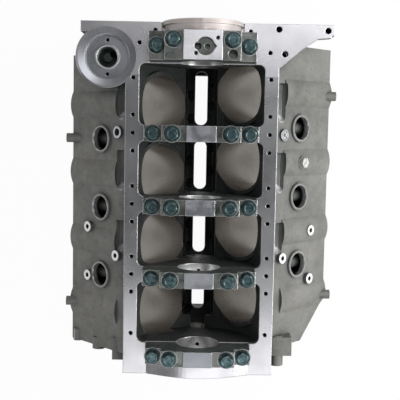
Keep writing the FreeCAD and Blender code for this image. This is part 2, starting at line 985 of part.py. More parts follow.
for name, half, front, rear in (
    ("front", END_CHANNEL, "-front_main - cap_length / 2 - cap_clearance", "-bay_front + 20"),
    ("middle", HALF_CHANNEL, "-bay_front + 10", "bay_rear - 10"),
    ("rear", END_CHANNEL, "bay_rear - 20", "rear_cap_back + cap_clearance"),
    ("seal", "seal_radius + cap_clearance", "rear_cap_back - seal_depth", "rear_face + 1"),
):
    hollows.append(
        block(
            f"cap_channel_{name}",
            f"-({half})",
            front,
            "0",
            f"2 * ({half})",
            f"({rear}) - ({front})",
            "rail_rise + 2",
        )
    )

# pockets under the rails, between the bulkheads, rounded where they meet the next one
POCKETS = [
    ("-bore_pitch + 47", "-bulkhead - 5"),
    ("bulkhead + 7", "bore_pitch - 31"),
    ("bore_pitch + 34", "rail_hole_rear - 4"),
]
for side, hand in ((-1, "left"), (1, "right")):
    for index, (front, rear) in enumerate(POCKETS):
        place = f"{side} * (rail_outer + groove_radius)"
        level = "rail_rise - groove_depth"
        tag = f"{hand}_{index + 1}"
        run = rod(
            f"pocket_run_{tag}", place, front, level, "groove_radius", f"{rear} - ({front})", "+Y"
        )
        end = doc.addObject("Part::Sphere", f"pocket_end_{tag}")
        bind(end, X=place, Y=front, Z=level, Radius="groove_radius")
        hollows.append(joined(f"pocket_{tag}", [run, end]))

# oil filter seat: a shallow cone for the gasket, a dish, and a deep socket with a raised lip
seat = doc.addObject("Part::Cone", "filter_seat")
bind(
    seat,
    X="-filter_x",
    Y="filter_y",
    Z="rail_rise - filter_seat_drop",
    Radius1="filter_dish_radius",
    Radius2="filter_seat_radius",
    Height="filter_seat_drop",
)
dish = rod(
    "filter_bowl",
    "-filter_x",
    "filter_y",
    "rail_rise - filter_dish_depth",
    "filter_dish_radius",
    "filter_dish_depth + 1",
)
lip = rod(
    "filter_lip",
    "-filter_x",
    "filter_y",
    "rail_rise - filter_dish_depth - 1",
    "filter_socket_radius + filter_lip_width",
    "filter_lip_rise + 1",
)
socket = rod(
    "filter_socket",
    "-filter_x",
    "filter_y",
    "rail_rise - filter_socket_depth",
    "filter_socket_radius",
    "filter_socket_depth + 1",
)
knob = rod(
    "filter_knob",
    "-filter_x",
    "filter_y",
    "rail_rise - filter_socket_depth - 1",
    "filter_knob_radius",
    "filter_knob_height",
)
hollows.append(seat)
hollows.append(without("filter_dish", dish, lip))
hollows.append(without("filter_socket_space", socket, knob))
hollows.append(
    rod(
        "filter_oil_hole",
        "filter_oil_step - filter_x",
        "filter_y + filter_oil_radius",
        "rail_rise - filter_oil_depth",
        "filter_oil_radius",
        "filter_oil_depth - filter_socket_depth / 2",
    )
)

# the slanted front corner of the right bank
corner = [
    ("deck_height", "-corner_front"),
    ("deck_height - corner_land", "-corner_front"),
    ("deck_height - corner_land - 1.25 * corner_side", "-right_bank_front - 1"),
    ("deck_height", "-right_bank_front - 1"),
]
hollows.append(slab("front_corner_cut", corner, "-deck_height", "-bay_corner"))

# socket plugs close the oil galleries in both end faces
END_PLUGS = [
    ("front", "timing_recess - front_face", "+Y", "-Y"),
    ("rear", "rear_face", "-Y", "+Y"),
]

holes = []
RAIL_HOLES = ["-rail_hole_front", "rail_hole_rear"] + [
    f"{main} + {step} * rail_hole_step" for main in MAINS[1:4] for step in (-1, 0, 1)
]
for side, hand in ((-1, "left"), (1, "right")):
    for index, place in enumerate(RAIL_HOLES):
        holes.append(
            rod(
                f"rail_hole_{hand}_{index + 1}",
                f"{side} * rail_hole_row",
                place,
                "rail_rise - rail_hole_depth",
                "rail_hole_radius",
                "rail_hole_depth + 1",
            )
        )
    for label, along, place in MOUNT_BOSSES:
        holes.append(
            wall_rod(
                f"mount_hole_{hand}_{label}",
                side,
                along,
                place,
                "deck_outer + mount_rise - mount_hole_depth",
                "mount_hole_radius",
                "mount_hole_depth + 1",
            )
        )
    holes.append(
        wall_rod(
            f"gallery_hole_{hand}",
            side,
            "gallery_boss_height",
            "bore_pitch",
            "deck_outer + gallery_boss_rise - gallery_plug_length",
            "gallery_plug_radius",
            "gallery_plug_length + 1",
        )
    )
    holes.append(
        rod(
            f"rear_screw_hole_{hand}",
            f"{side} * rear_screw_row",
            "rear_face - rear_screw_inset",
            "rail_rise - rail_hole_depth",
            "rail_hole_radius",
            "rail_hole_depth + 1",
        )
    )
    port_x = f"{side} * (port_height - port_across) * sin(bank_angle)"
    port_z = "-(port_height + port_across) * cos(bank_angle)"
    port_length = f"front_face - {hand}_bank_front + port_reach"
    holes.append(
        rod(f"port_{hand}", port_x, "-front_face - 1", port_z, "port_radius", port_length, "+Y")
    )
    for label, step in (("low", -1), ("high", 1)):
        holes.append(
            rod(
                f"port_bolt_hole_{hand}_{label}",
                f"{port_x} + {side * step} * port_bolt_step * cos(bank_angle)",
                "-front_face - 1",
                f"{port_z} + {step} * port_bolt_step * sin(bank_angle)",
                "port_bolt_radius",
                "port_bolt_depth",
                "+Y",
            )
        )
    for label in ("top", "side", "foot"):
        holes.append(
            rod(
                f"cover_hole_{hand}_{label}",
                f"{side} * cover_{label}_x",
                "-front_face - 1",
                f"-cover_{label}_z",
                "cover_hole_radius",
                "cover_hole_depth",
                "+Y",
            )
        )
    for label in ("top", "side", "foot"):
        holes.append(
            rod(
                f"flange_hole_{hand}_{label}",
                f"{side} * flange_{label}_bolt_x",
                "rear_face - flange_thickness - 1",
                f"-flange_{label}_bolt_z",
                "flange_bolt_radius",
                "flange_thickness + 2",
                "+Y",
            )
        )
    for end, face, inward, outward in END_PLUGS:
        holes.append(
            rod(
                f"{end}_plug_hole_{hand}",
                f"{side} * {end}_plug_side",
                face,
                f"-{end}_plug_height",
                "end_plug_radius",
                "end_plug_length",
                inward,
            )
        )
for label in ("outer", "rear", "inner"):
    holes.append(
        rod(
            f"starter_hole_{label}",
            f"starter_{label}_x",
            f"rear_face - starter_{label}_inset",
            "rail_rise - starter_hole_depth",
            "starter_hole_radius",
            "starter_hole_depth + 1",
        )
    )
for label, x in (("pad", "pad_screw_row"), ("corner", "-rail_inner")):
    holes.append(
        rod(
            f"rear_rail_hole_{label}",
            x,
            f"rear_face - {label}_screw_inset",
            "rail_rise - rail_hole_depth",
            "rail_hole_radius",
            "rail_hole_depth + 1",
        )
    )
for label, step in (("rear", 1), ("front", -1)):
    holes.append(
        rod(
            f"filter_screw_hole_{label}",
            "-filter_x",
            f"filter_y + {step} * filter_screw_step",
            "rail_rise - filter_dish_depth - filter_screw_depth",
            "filter_screw_radius",
            "filter_screw_depth + 1",
        )
    )
holes.append(
    wall_rod(
        "drain_hole",
        1,
        "drain_height",
        DRAIN_PLACE,
        "deck_outer - jacket_wall - 4",
        "drain_plug_radius",
        "jacket_wall + bulge_rise + 8",
    )
)
dowel_holes = [
    rod(
        f"dowel_hole_{index + 1}",
        "-dowel_row",
        place,
        "deck_height - dowel_depth",
        "dowel_radius",
        "dowel_depth + 1",
    )
    for index, place in enumerate((LEFT_COLUMNS[0], LEFT_COLUMNS[4]))
]
holes += both_banks("dowel_holes", dowel_holes)


def bolt_columns(main_index):
    """The four bolts of one cap: across and along places, seat height and reach below."""
    main = MAINS[main_index]
    if main_index == 4:
        inner, wide, far = "rear_inner_bolt", "rear_outer_bolt", "end_outer_bolt"
    elif main_index == 0:
        inner, wide, far = main, main, "end_outer_bolt"
    else:
        inner, wide, far = main, main, "outer_bolt"
    return [
        (f"-{far}", wide, "cap_outer_top", "outer_bolt_reach"),
        ("-inner_bolt", inner, "cap_inner_top", "inner_bolt_reach"),
        ("inner_bolt", inner, "cap_inner_top", "inner_bolt_reach"),
        (far, wide, "cap_outer_top", "outer_bolt_reach"),
    ]


for index in range(len(MAINS)):
    for number, (x, y, seat, reach) in enumerate(bolt_columns(index)):
        holes.append(
            rod(
                f"cap_hole_{index + 1}_{number + 1}",
                x,
                y,
                f"-{reach}",
                "bolt_radius",
                f"{reach} + 1",
            )
        )

hollowed = without("hollowed", casting_form, joined("hollow_tools", hollows))
block_casting = without("block_casting", hollowed, group("small_holes", holes))


# ---------------------------------------------------------------- main bearing caps
def cap(name, half, step, front, rear, columns, added=(), taken=()):
    """A four-bolt bearing cap between two Y levels, with its steps, bore and bolt holes."""
    right_half = [
        ("cap_pad_half", "cap_top"),
        ("cap_pad_half", "cap_inner_top"),
        (step, "cap_inner_top"),
        (step, "cap_outer_top"),
        (half, "cap_outer_top"),
        (half, "0"),
    ]
    form = prism(name + "_form", mirrored(right_half), front, rear)
    long = f"({rear}) - ({front}) + 2"
    tools = [rod(name + "_bore", "0", f"({front}) - 1", "0", "main_bore_radius", long, "+Y")]
    for number, (x, y, seat, reach) in enumerate(columns):
        tools.append(rod(f"{name}_hole_{number + 1}", x, y, "-1", "bolt_radius", "cap_top + 2"))
    solid = joined(name + "_solid", [form, *added]) if added else form
    return without(name, solid, joined(name + "_tools", tools + list(taken)))


seal_body = rod(
    "seal_body",
    "0",
    "rear_face",
    "0",
    "seal_radius - seal_lip",
    "rear_face - rear_cap_back + 1",
    "-Y",
)
seal_rim = rod("seal_rim", "0", "rear_face", "0", "seal_radius", "2 * seal_lip", "-Y")
for half_ring in (seal_body, seal_rim):
    half_ring.Angle = 180
pump_pad = block(
    "pump_pad",
    "-pump_pad_half",
    "rear_cap_front",
    "cap_inner_top - 1",
    "2 * pump_pad_half",
    "rear_cap_back - rear_cap_front",
    "pump_pad_top - cap_inner_top + 1",
)
eye_floor = "pump_pad_top - pump_eye_depth"
eye_round = rod(
    "eye_round", "pump_eye_x", "pump_eye_y", eye_floor, "pump_eye_radius", "pump_eye_depth + 1"
)
eye_point = slab(
    "eye_point",
    [
        ("pump_eye_x + 0.5 * pump_eye_radius", "pump_eye_y - 0.866 * pump_eye_radius"),
        ("pump_eye_x + 1.25 * pump_eye_radius", "pump_eye_y"),
        ("pump_eye_x + 0.5 * pump_eye_radius", "pump_eye_y + 0.866 * pump_eye_radius"),
    ],
    eye_floor,
    "pump_pad_top + 1",
)
rear_cap_tools = [
    joined("pump_eye", [eye_round, eye_point]),
    rod(
        "seal_cap_bore",
        "0",
        "rear_cap_back - seal_depth",
        "0",
        "seal_bore_radius",
        "rear_face - rear_cap_back + seal_depth + 1",
        "+Y",
    ),
]
for name, x, y in (
    ("feed", "pump_eye_x - pump_feed_step", "pump_eye_y"),
    ("drive", "pump_eye_x + pump_drive_step", "pump_eye_y"),
    ("screw", "pump_eye_x + pump_screw_near", "pump_eye_y + pump_screw_rise"),
    ("screw", "pump_eye_x - pump_screw_far", "pump_eye_y - pump_screw_drop"),
    ("stud", "pump_stud_x", "pump_stud_y"),
):
    foot = f"pump_pad_top - pump_{name}_depth"
    tag = f"pump_{name}_hole_{len(rear_cap_tools)}"
    rear_cap_tools.append(rod(tag, x, y, foot, f"pump_{name}_radius", f"pump_{name}_depth + 1"))

nodes = [block_casting]
for index, main in enumerate(MAINS[:4]):
    half = "end_cap_half_width" if index == 0 else "cap_half_width"
    step = "end_cap_step" if index == 0 else "cap_step"
    front = f"{main} - cap_length / 2"
    rear = f"{main} + cap_length / 2"
    nodes.append(cap(f"main_cap_{index + 1}", half, step, front, rear, bolt_columns(index)))
nodes.append(
    cap(
        "main_cap_5",
        "end_cap_half_width",
        "end_cap_step",
        "rear_cap_front",
        "rear_cap_back",
        bolt_columns(4),
        [seal_body, seal_rim, pump_pad],
        rear_cap_tools,
    )
)


# ---------------------------------------------------------------- bolts and washers
def hexagon(name, x, y, z, radius, height):
    """A hexagonal head that stands on a height."""
    item = doc.addObject("Part::Prism", name)
    item.Polygon = 6
    return bind(item, X=x, Y=y, Z=z, Circumradius=radius, Height=height)


for index in range(len(MAINS)):
    bolts = []
    washers = []
    for number, (x, y, seat, reach) in enumerate(bolt_columns(index)):
        tag = f"{index + 1}_{number + 1}"
        under = f"{seat} + washer_thickness"
        head = hexagon(f"head_{tag}", x, y, under, "hex_radius", "hex_height")
        shank = rod(f"shank_{tag}", x, y, f"-{reach}", "bolt_radius", f"{under} + {reach}")
        bolts.append(joined(f"bolt_{tag}", [head, shank]))
        ring = rod(f"washer_ring_{tag}", x, y, seat, "washer_radius", "washer_thickness")
        eye = rod(f"washer_eye_{tag}", x, y, f"{seat} - 1", "bolt_radius", "washer_thickness + 2")
        washers.append(without(f"washer_{tag}", ring, eye))
    nodes.append(group(f"main_bolts_{index + 1}", bolts))
    nodes.append(group(f"main_washers_{index + 1}", washers))

# ---------------------------------------------------------------- bearings, plugs and dowels
bearings = []
for index, main in enumerate(MAINS):
    start = f"{main} - cam_bearing_length / 2"
    tag = index + 1
    sleeve = rod(
        f"sleeve_{tag}", "0", start, "-cam_drop", "cam_bore_radius", "cam_bearing_length", "+Y"
    )
    eye = rod(
        f"sleeve_eye_{tag}",
        "0",
        f"{start} - 1",
        "-cam_drop",
        "cam_bore_radius - cam_bearing_wall",
        "cam_bearing_length + 2",
        "+Y",
    )
    bearings.append(without(f"cam_bearing_{tag}", sleeve, eye))
nodes.append(group("cam_bearings", bearings))

cup = rod(
    "cam_cup",
    "0",
    "rear_face - cam_plug_depth",
    "-cam_drop",
    "cam_bore_radius",
    "cam_plug_depth + cam_plug_wall",
    "-Y",
)
cup_dish = rod(
    "cam_cup_dish",
    "0",
    "rear_face",
    "-cam_drop",
    "cam_bore_radius - cam_plug_wall",
    "2 * cam_plug_depth",
    "-Y",
)
nodes.append(without("cam_bore_plug", cup, cup_dish))

DRAIN_FACE = "deck_outer + bulge_rise + drain_rise"
drain_head = doc.addObject("Part::Prism", "drain_head")
drain_head.Polygon = 6
drain_head.Placement = FreeCAD.Placement(Vector(), Rotation(Vector(0, 1, 0), 45))
bind(
    drain_head,
    X=f"drain_height * sin(bank_angle) + ({DRAIN_FACE}) * cos(bank_angle)",
    Y=DRAIN_PLACE,
    Z=f"({DRAIN_FACE}) * sin(bank_angle) - drain_height * cos(bank_angle)",
    Circumradius="drain_hex_radius",
    Height="drain_hex_height",
    **{"Placement.Rotation.Angle": "90 - bank_angle"},
)
drain_shank = wall_rod(
    "drain_shank",
    1,
    "drain_height",
    DRAIN_PLACE,
    "deck_outer - jacket_wall",
    "drain_plug_radius",
    "jacket_wall + bulge_rise + drain_rise + 1",
)
nodes.append(joined("drain_plug", [drain_head, drain_shank]))


GALLERY_FLOOR = "deck_outer + gallery_boss_rise - gallery_plug_length"
side_plug = wall_rod(
    "side_plug_body",
    1,
    "gallery_boss_height",
    "bore_pitch",
    GALLERY_FLOOR,
    "gallery_plug_radius",
    "gallery_plug_length - 1",
)
side_socket = wall_rod(
    "side_plug_socket",
    1,
    "gallery_boss_height",
    "bore_pitch",
    f"{GALLERY_FLOOR} + gallery_plug_length - 1 - socket_depth",
    "socket_radius",
    "socket_depth + 1",
)
nodes.append(without("side_gallery_plug", side_plug, side_socket))

for end, face, inward, outward in END_PLUGS:
    plugs = []
    for side, hand in ((-1, "left"), (1, "right")):
        place = f"{side} * {end}_plug_side"
        body = rod(
            f"{end}_plug_body_{hand}",
            place,
            face,
            f"-{end}_plug_height",
            "end_plug_radius",
            "end_plug_length",
            inward,
        )
        socket = rod(
            f"{end}_plug_socket_{hand}",
            place,
            f"{face} {inward[0]} socket_depth",
            f"-{end}_plug_height",
            "socket_radius",
            "socket_depth + 1",
            outward,
        )
        plugs.append(without(f"{end}_gallery_plug_{hand}", body, socket))
    nodes.append(group(f"{end}_gallery_plugs", plugs))

dowels = group(
    "deck_dowels",
    [
        rod(
            f"dowel_{index + 1}",
            "-dowel_row",
            place,
            "deck_height - dowel_depth",
            "dowel_radius",
            "dowel_depth + dowel_rise",
        )
        for index, place in enumerate((LEFT_COLUMNS[0], LEFT_COLUMNS[4]))
    ],
)
nodes.append(group("head_dowels_left", [leaned(dowels)]))
nodes.append(turned("head_dowels_right", dowels))

# ---------------------------------------------------------------- onto the floor, and out
for node in nodes:
    bind(node, Y=MIDDLE, Z=LIFT)
    node.Label = node.Name

doc.recompute()
for item in doc.Objects:
    if "Invalid" in item.State or "Error" in item.State:
        raise RuntimeError(f"{item.Name} failed: {item.State}")
for node in nodes:
    if node.Shape.isNull() or not node.Shape.isValid():
        raise RuntimeError(f"{node.Name} has no valid shape")
    node.Shape.exportStep(f"parts/{node.Label}.step")
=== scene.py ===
import json
import random
from math import asin, cos, pi, radians, sin, tan

import bmesh
import bpy
from mathutils import Matrix, Vector


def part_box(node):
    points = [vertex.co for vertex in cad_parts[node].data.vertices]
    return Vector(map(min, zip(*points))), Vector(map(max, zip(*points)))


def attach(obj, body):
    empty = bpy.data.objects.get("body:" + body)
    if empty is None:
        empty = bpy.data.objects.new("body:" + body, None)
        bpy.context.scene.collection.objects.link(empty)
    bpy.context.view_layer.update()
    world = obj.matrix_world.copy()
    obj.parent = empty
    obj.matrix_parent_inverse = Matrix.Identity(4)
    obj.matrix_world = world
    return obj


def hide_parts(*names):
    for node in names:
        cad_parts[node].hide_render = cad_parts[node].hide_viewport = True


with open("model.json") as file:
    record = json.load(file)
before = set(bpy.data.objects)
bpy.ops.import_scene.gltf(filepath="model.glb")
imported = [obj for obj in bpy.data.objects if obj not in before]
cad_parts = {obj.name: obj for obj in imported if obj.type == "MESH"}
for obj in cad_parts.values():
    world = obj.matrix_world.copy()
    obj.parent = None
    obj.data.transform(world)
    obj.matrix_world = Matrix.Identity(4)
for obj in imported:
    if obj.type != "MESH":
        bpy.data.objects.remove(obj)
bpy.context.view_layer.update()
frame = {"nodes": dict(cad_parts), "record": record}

# ---------------------------------------------------------------- bench and light
# The block lies crankcase up on a wide sheet of pale paper, whose far edges curl up a
# little. Large soft lamps stand past the flywheel end, past the front end and at each side.
PAPER_REACH = 4.0
PAPER_SQUARES = 24
PAPER_GAP = 0.0005
CURL_START = 2.5
CURL = 0.04
PAPER_GRAIN = 40.0
PAPER_SHADE = (0.78, 0.78, 0.78, 1)
PAPER_LIGHT = (0.84, 0.84, 0.84, 1)
WHITE_SHARE = 0.96
ROOM_LEVEL = 0.14
CAMERA_PLACE = (-0.0095, 0.1297, 1.627)
CAMERA_LENS = 72.42
CAMERA_TILT = 0.09296
TILT_AXIS = Vector((-0.091, -0.006, 0.018))

scene = bpy.context.scene
scene.view_settings.view_transform = "Standard"


def paper_material():
    """Paper that is plain white wherever it is seen directly, and keeps the shadow on it."""
    made = bpy.data.materials.new("sweep_paper")
    made.use_nodes = True
    tree = made.node_tree
    tree.nodes.clear()
    out = tree.nodes.new("ShaderNodeOutputMaterial")
    matt = tree.nodes.new("ShaderNodeBsdfDiffuse")
    grain = tree.nodes.new("ShaderNodeTexNoise")
    grain.inputs["Scale"].default_value = PAPER_GRAIN
    tone = tree.nodes.new("ShaderNodeValToRGB")
    tone.color_ramp.elements[0].color = PAPER_SHADE
    tone.color_ramp.elements[1].color = PAPER_LIGHT
    tree.links.new(grain.outputs["Fac"], tone.inputs["Fac"])
    tree.links.new(tone.outputs["Color"], matt.inputs["Color"])
    glow = tree.nodes.new("ShaderNodeEmission")
    glow.inputs["Strength"].default_value = 1.0
    path = tree.nodes.new("ShaderNodeLightPath")
    direct = path.outputs["Is Camera Ray"]
    for ray in ("Is Glossy Ray", "Is Transmission Ray"):
        either = tree.nodes.new("ShaderNodeMath")
        either.operation = "MAXIMUM"
        tree.links.new(direct, either.inputs[0])
        tree.links.new(path.outputs[ray], either.inputs[1])
        direct = either.outputs[0]
    share = tree.nodes.new("ShaderNodeMath")
    share.operation = "MULTIPLY"
    share.inputs[1].default_value = WHITE_SHARE
    tree.links.new(direct, share.inputs[0])
    blend = tree.nodes.new("ShaderNodeMixShader")
    tree.links.new(share.outputs[0], blend.inputs["Fac"])
    tree.links.new(matt.outputs[0], blend.inputs[1])
    tree.links.new(glow.outputs[0], blend.inputs[2])
    tree.links.new(blend.outputs[0], out.inputs["Surface"])
    return made


paper = bmesh.new()
bmesh.ops.create_grid(
    paper, x_segments=PAPER_SQUARES, y_segments=PAPER_SQUARES, size=PAPER_REACH
)
for corner in paper.verts:
    beyond = max(corner.co.length - CURL_START, 0)
    corner.co.z = CURL * beyond * beyond - PAPER_GAP
paper_mesh = bpy.data.meshes.new("paper_sweep")
paper.to_mesh(paper_mesh)
paper.free()
paper_mesh.materials.append(paper_material())
paper_sheet = bpy.data.objects.new("paper_sweep", paper_mesh)
scene.collection.objects.link(paper_sheet)


def soft_box(name, place, aim, width, depth, power):
    """A large flat lamp that looks at a point."""
    lamp = bpy.data.lights.new(name, "AREA")
    lamp.shape = "RECTANGLE"
    lamp.size = width
    lamp.size_y = depth
    lamp.energy = power
    holder = bpy.data.objects.new(name, lamp)
    holder.location = place
    turn = (Vector(aim) - Vector(place)).to_track_quat("-Z", "Y")
    holder.rotation_euler = turn.to_euler()
    scene.collection.objects.link(holder)


soft_box("rear_soft_box", (0.95, 1.02, 1.9), (0.95, 1.02, 0), width=2.1, depth=1.2, power=17)
soft_box("front_soft_box", (0.35, -1.22, 1.9), (0.35, -1.22, 0), width=2.2, depth=1.24, power=18)
soft_box("right_soft_box", (1.5, 0, 1.0), (0.1, 0, 0.15), width=1.4, depth=1.0, power=30)
soft_box("left_soft_box", (-1.7, 0, 0.9), (0, 0, 0.15), width=1.2, depth=1.2, power=6)

world = bpy.data.worlds.new("studio")
scene.world = world
world.use_nodes = True
room = world.node_tree.nodes["Background"]
room.inputs["Color"].default_value = (1, 1, 1, 1)
ray = world.node_tree.nodes.new("ShaderNodeLightPath")
level = world.node_tree.nodes.new("ShaderNodeMapRange")
level.inputs["To Min"].default_value = ROOM_LEVEL
level.inputs["To Max"].default_value = 1.0
world.node_tree.links.new(ray.outputs["Is Camera Ray"], level.inputs["Value"])
world.node_tree.links.new(level.outputs["Result"], room.inputs["Strength"])

lens = bpy.data.cameras.new("camera")
lens.sensor_width = 36.0
lens.lens = CAMERA_LENS
camera = bpy.data.objects.new("camera", lens)
camera.location = CAMERA_PLACE
camera.rotation_euler = Matrix.Rotation(CAMERA_TILT, 3, TILT_AXIS).to_euler()
scene.collection.objects.link(camera)
bpy.context.scene.camera = camera


# ---------------------------------------------------------------- block casting
# The block is one grey-iron sand casting. Its rails, decks, end faces, bosses and bores are
# machined bright; everything else keeps the grain and the grey-green skin of the mould.
SQUARE = 0.995


class Finish:
    """A node material that is built up step by step. Masks run from 0 to 1."""

    def __init__(self, name):
        self.made = bpy.data.materials.new(name)
        self.made.use_nodes = True
        self.tree = self.made.node_tree
        self.skin = self.tree.nodes["Principled BSDF"]
        self.place = self.tree.nodes.new("ShaderNodeTexCoord").outputs["Object"]
        self.facing = self.tree.nodes.new("ShaderNodeNewGeometry").outputs["Normal"]

    def feed(self, socket, value):
        """Link a socket to another one, or set its number or colour."""
        if isinstance(value, bpy.types.NodeSocket):
            self.tree.links.new(value, socket)
        else:
            socket.default_value = value

    def maths(self, kind, first, second=0.0, third=None):
        """One step of arithmetic on numbers."""
        node = self.tree.nodes.new("ShaderNodeMath")
        node.operation = kind
        self.feed(node.inputs[0], first)
        self.feed(node.inputs[1], second)
        if third is not None:
            self.feed(node.inputs[2], third)
        return node.outputs[0]

    def times(self, first, second):
        """Two numbers multiplied, which for masks is where both hold."""
        return self.maths("MULTIPLY", first, second)

    def above(self, value, level):
        """1 where a number is over a level, else 0."""
        return self.maths("GREATER_THAN", value, level)

    def below(self, value, level):
        """1 where a number is under a level, else 0."""
        return self.maths("LESS_THAN", value, level)

    def size(self, value):
        """A number without its sign."""
        return self.maths("ABSOLUTE", value)

    def near(self, value, level, reach):
        """1 where a number is within reach of a level, else 0."""
        return self.maths("COMPARE", value, level, reach)

    def either(self, *masks):
        """1 where any of the masks is."""
        whole = masks[0]
        for mask in masks[1:]:
            whole = self.maths("MAXIMUM", whole, mask)
        return whole

    def between(self, value, low, high, to_low=0.0, to_high=1.0):
        """A number moved from one range to another, and held inside it."""
        node = self.tree.nodes.new("ShaderNodeMapRange")
        self.feed(node.inputs["Value"], value)
        node.inputs["From Min"].default_value = low
        node.inputs["From Max"].default_value = high
        self.feed(node.inputs["To Min"], to_low)
        self.feed(node.inputs["To Max"], to_high)
        return node.outputs["Result"]

    def tint(self, factor, first, second):
        """Two colours mixed."""
        node = self.tree.nodes.new("ShaderNodeMix")
        node.data_type = "RGBA"
        self.feed(node.inputs["Factor"], factor)
        # a Mix node's colours are its inputs 6 and 7 and its output 2
        for socket, value in ((node.inputs[6], first), (node.inputs[7], second)):
            if isinstance(value, bpy.types.NodeSocket):
                self.tree.links.new(value, socket)
            else:
                socket.default_value = (*value, 1.0)
        return node.outputs[2]

    def along(self, vector, direction):
        """How far a vector reaches along a direction."""
        node = self.tree.nodes.new("ShaderNodeVectorMath")
        node.operation = "DOT_PRODUCT"
        self.feed(node.inputs[0], vector)
        self.feed(node.inputs[1], direction)
        return node.outputs["Value"]

    def shifted(self, vector, offset):
        """A vector with an offset added."""
        node = self.tree.nodes.new("ShaderNodeVectorMath")
        node.operation = "ADD"
        self.feed(node.inputs[0], vector)
        node.inputs[1].default_value = offset
        return node.outputs[0]

    def stretched(self, scale):
        """The place on the piece with its three axes scaled."""
        node = self.tree.nodes.new("ShaderNodeMapping")
        self.feed(node.inputs["Vector"], self.place)
        node.inputs["Scale"].default_value = scale
        return node.outputs[0]

    def axis_reach(self, first, second):
        """The distance from an axis, from two coordinates square to it."""
        squares = [self.maths("POWER", self.size(value), 2.0) for value in (first, second)]
        return self.maths("SQRT", self.maths("ADD", *squares))

    def around(self, centre, radius):
        """1 at a point, fading to 0 at a radius from it."""
        node = self.tree.nodes.new("ShaderNodeVectorMath")
        node.operation = "DISTANCE"
        self.feed(node.inputs[0], self.place)
        node.inputs[1].default_value = centre
        return self.between(node.outputs["Value"], 0.65 * radius, radius, 1.0, 0.0)

    def facing_to(self, direction):
        """1 where the surface faces a direction squarely, else 0."""
        return self.above(self.along(self.facing, direction), SQUARE)

    def noise(self, scale, detail=3.0, rough=0.55, vector=None):
        """Cloudy noise from 0 to 1."""
        node = self.tree.nodes.new("ShaderNodeTexNoise")
        self.feed(node.inputs["Vector"], vector or self.place)
        node.inputs["Scale"].default_value = scale
        node.inputs["Detail"].default_value = detail
        node.inputs["Roughness"].default_value = rough
        return node.outputs["Fac"]

    def bump(self, height, depth, strength=1.0, under=None):
        """The surface's direction, roughened by a height."""
        node = self.tree.nodes.new("ShaderNodeBump")
        node.inputs["Distance"].default_value = depth
        self.feed(node.inputs["Strength"], strength)
        self.feed(node.inputs["Height"], height)
        if under is not None:
            self.feed(node.inputs["Normal"], under)
        return node.outputs[0]

    def softened(self, radius):
        """The surface's direction with its sharp edges eased over a radius."""
        node = self.tree.nodes.new("ShaderNodeBevel")
        node.samples = 12
        node.inputs["Radius"].default_value = radius
        return node.outputs[0]

    def edges(self, eased, start=0.07, full=0.22):
        """1 along sharp edges, where the eased direction departs from the surface's own."""
        turned_by = self.maths("SUBTRACT", 1.0, self.along(eased, self.facing))
        return self.between(turned_by, start, full)

    def openness(self, reach, shut):
        """1 in the open and 0 deep in a corner or hole."""
        node = self.tree.nodes.new("ShaderNodeAmbientOcclusion")
        node.samples = 6
        node.only_local = True
        node.inputs["Distance"].default_value = reach
        return self.between(node.outputs["AO"], 1.0 - shut, 1.0)

    def finish(self, colour, metal, rough, normal):
        """Set the shader's own sockets and hand over the material."""
        self.feed(self.skin.inputs["Base Color"], colour)
        self.feed(self.skin.inputs["Metallic"], metal)
        self.feed(self.skin.inputs["Roughness"], rough)
        self.feed(self.skin.inputs["Normal"], normal)
        return self.made


MOUNTS = {mount["name"]: mount for mount in frame["record"]["mounts"]}
HANDS = {-1: "left", 1: "right"}
CYLINDERS = {-1: (1, 2, 3, 4), 1: (5, 6, 7, 8)}
BANK = radians(45)


def bank_direction(side):
    """The direction of a bank's cylinder axes, towards its deck."""
    return Vector((side * sin(BANK), 0, -cos(BANK)))


def wall_direction(side):
    """The direction that a bank's outer wall faces."""
    return Vector((side * cos(BANK), 0, sin(BANK)))


def crank_reach(mount, direction):
    """How far a mount of the frame lies from the crankshaft's axis along a direction."""
    return (Vector(MOUNTS[mount]["pos_m"]) - Vector((0, 0, CRANK))).dot(direction)


casting_low, casting_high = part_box("block_casting")
RAIL_TOP = casting_high.z
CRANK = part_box("main_cap_1")[0].z
BORE = MOUNTS["cylinder_1"]["dims"]["r_mm"] / 1000
MAIN_BORE = MOUNTS["main_bearing_bore"]["dims"]["r_mm"] / 1000
FILTER_SEAT = Vector((*MOUNTS["oil_filter_adapter_screws"]["pos_m"][:2], RAIL_TOP))
DECK_HEIGHT = crank_reach("left_deck", bank_direction(-1))
MOUNT_BOSS_RISE = 0.008
PLUG_BOSS_RISE = 0.005
DECK_OUTER = crank_reach("engine_mount_left", wall_direction(-1)) - MOUNT_BOSS_RISE
PLANE_REACH = 0.0006
BOSS_REACH = 0.0004
HONED_REACH = 0.0009
HONED_LEAN = 0.05
HONED_START = 0.081
SADDLE_REACH = 0.0007
SADDLE_LEAN = 0.1
SEAT_REACH = 0.0502
SEAT_DEPTH = 0.0142
SOCKET_REACH = 0.0178
SOCKET_START = 0.0120
DIM_REFLECTION_END = 0.2165
BAY_HALF = 0.1085
BAY_START = 0.010
BAY_REACH = 0.252
POCKET_LINE = 0.137
POCKET_DEEP = 0.026
POCKET_HIGHLIGHT_RADIUS = 0.0095
POCKET_ENDS = (-0.0865, 0.0230, 0.1465)

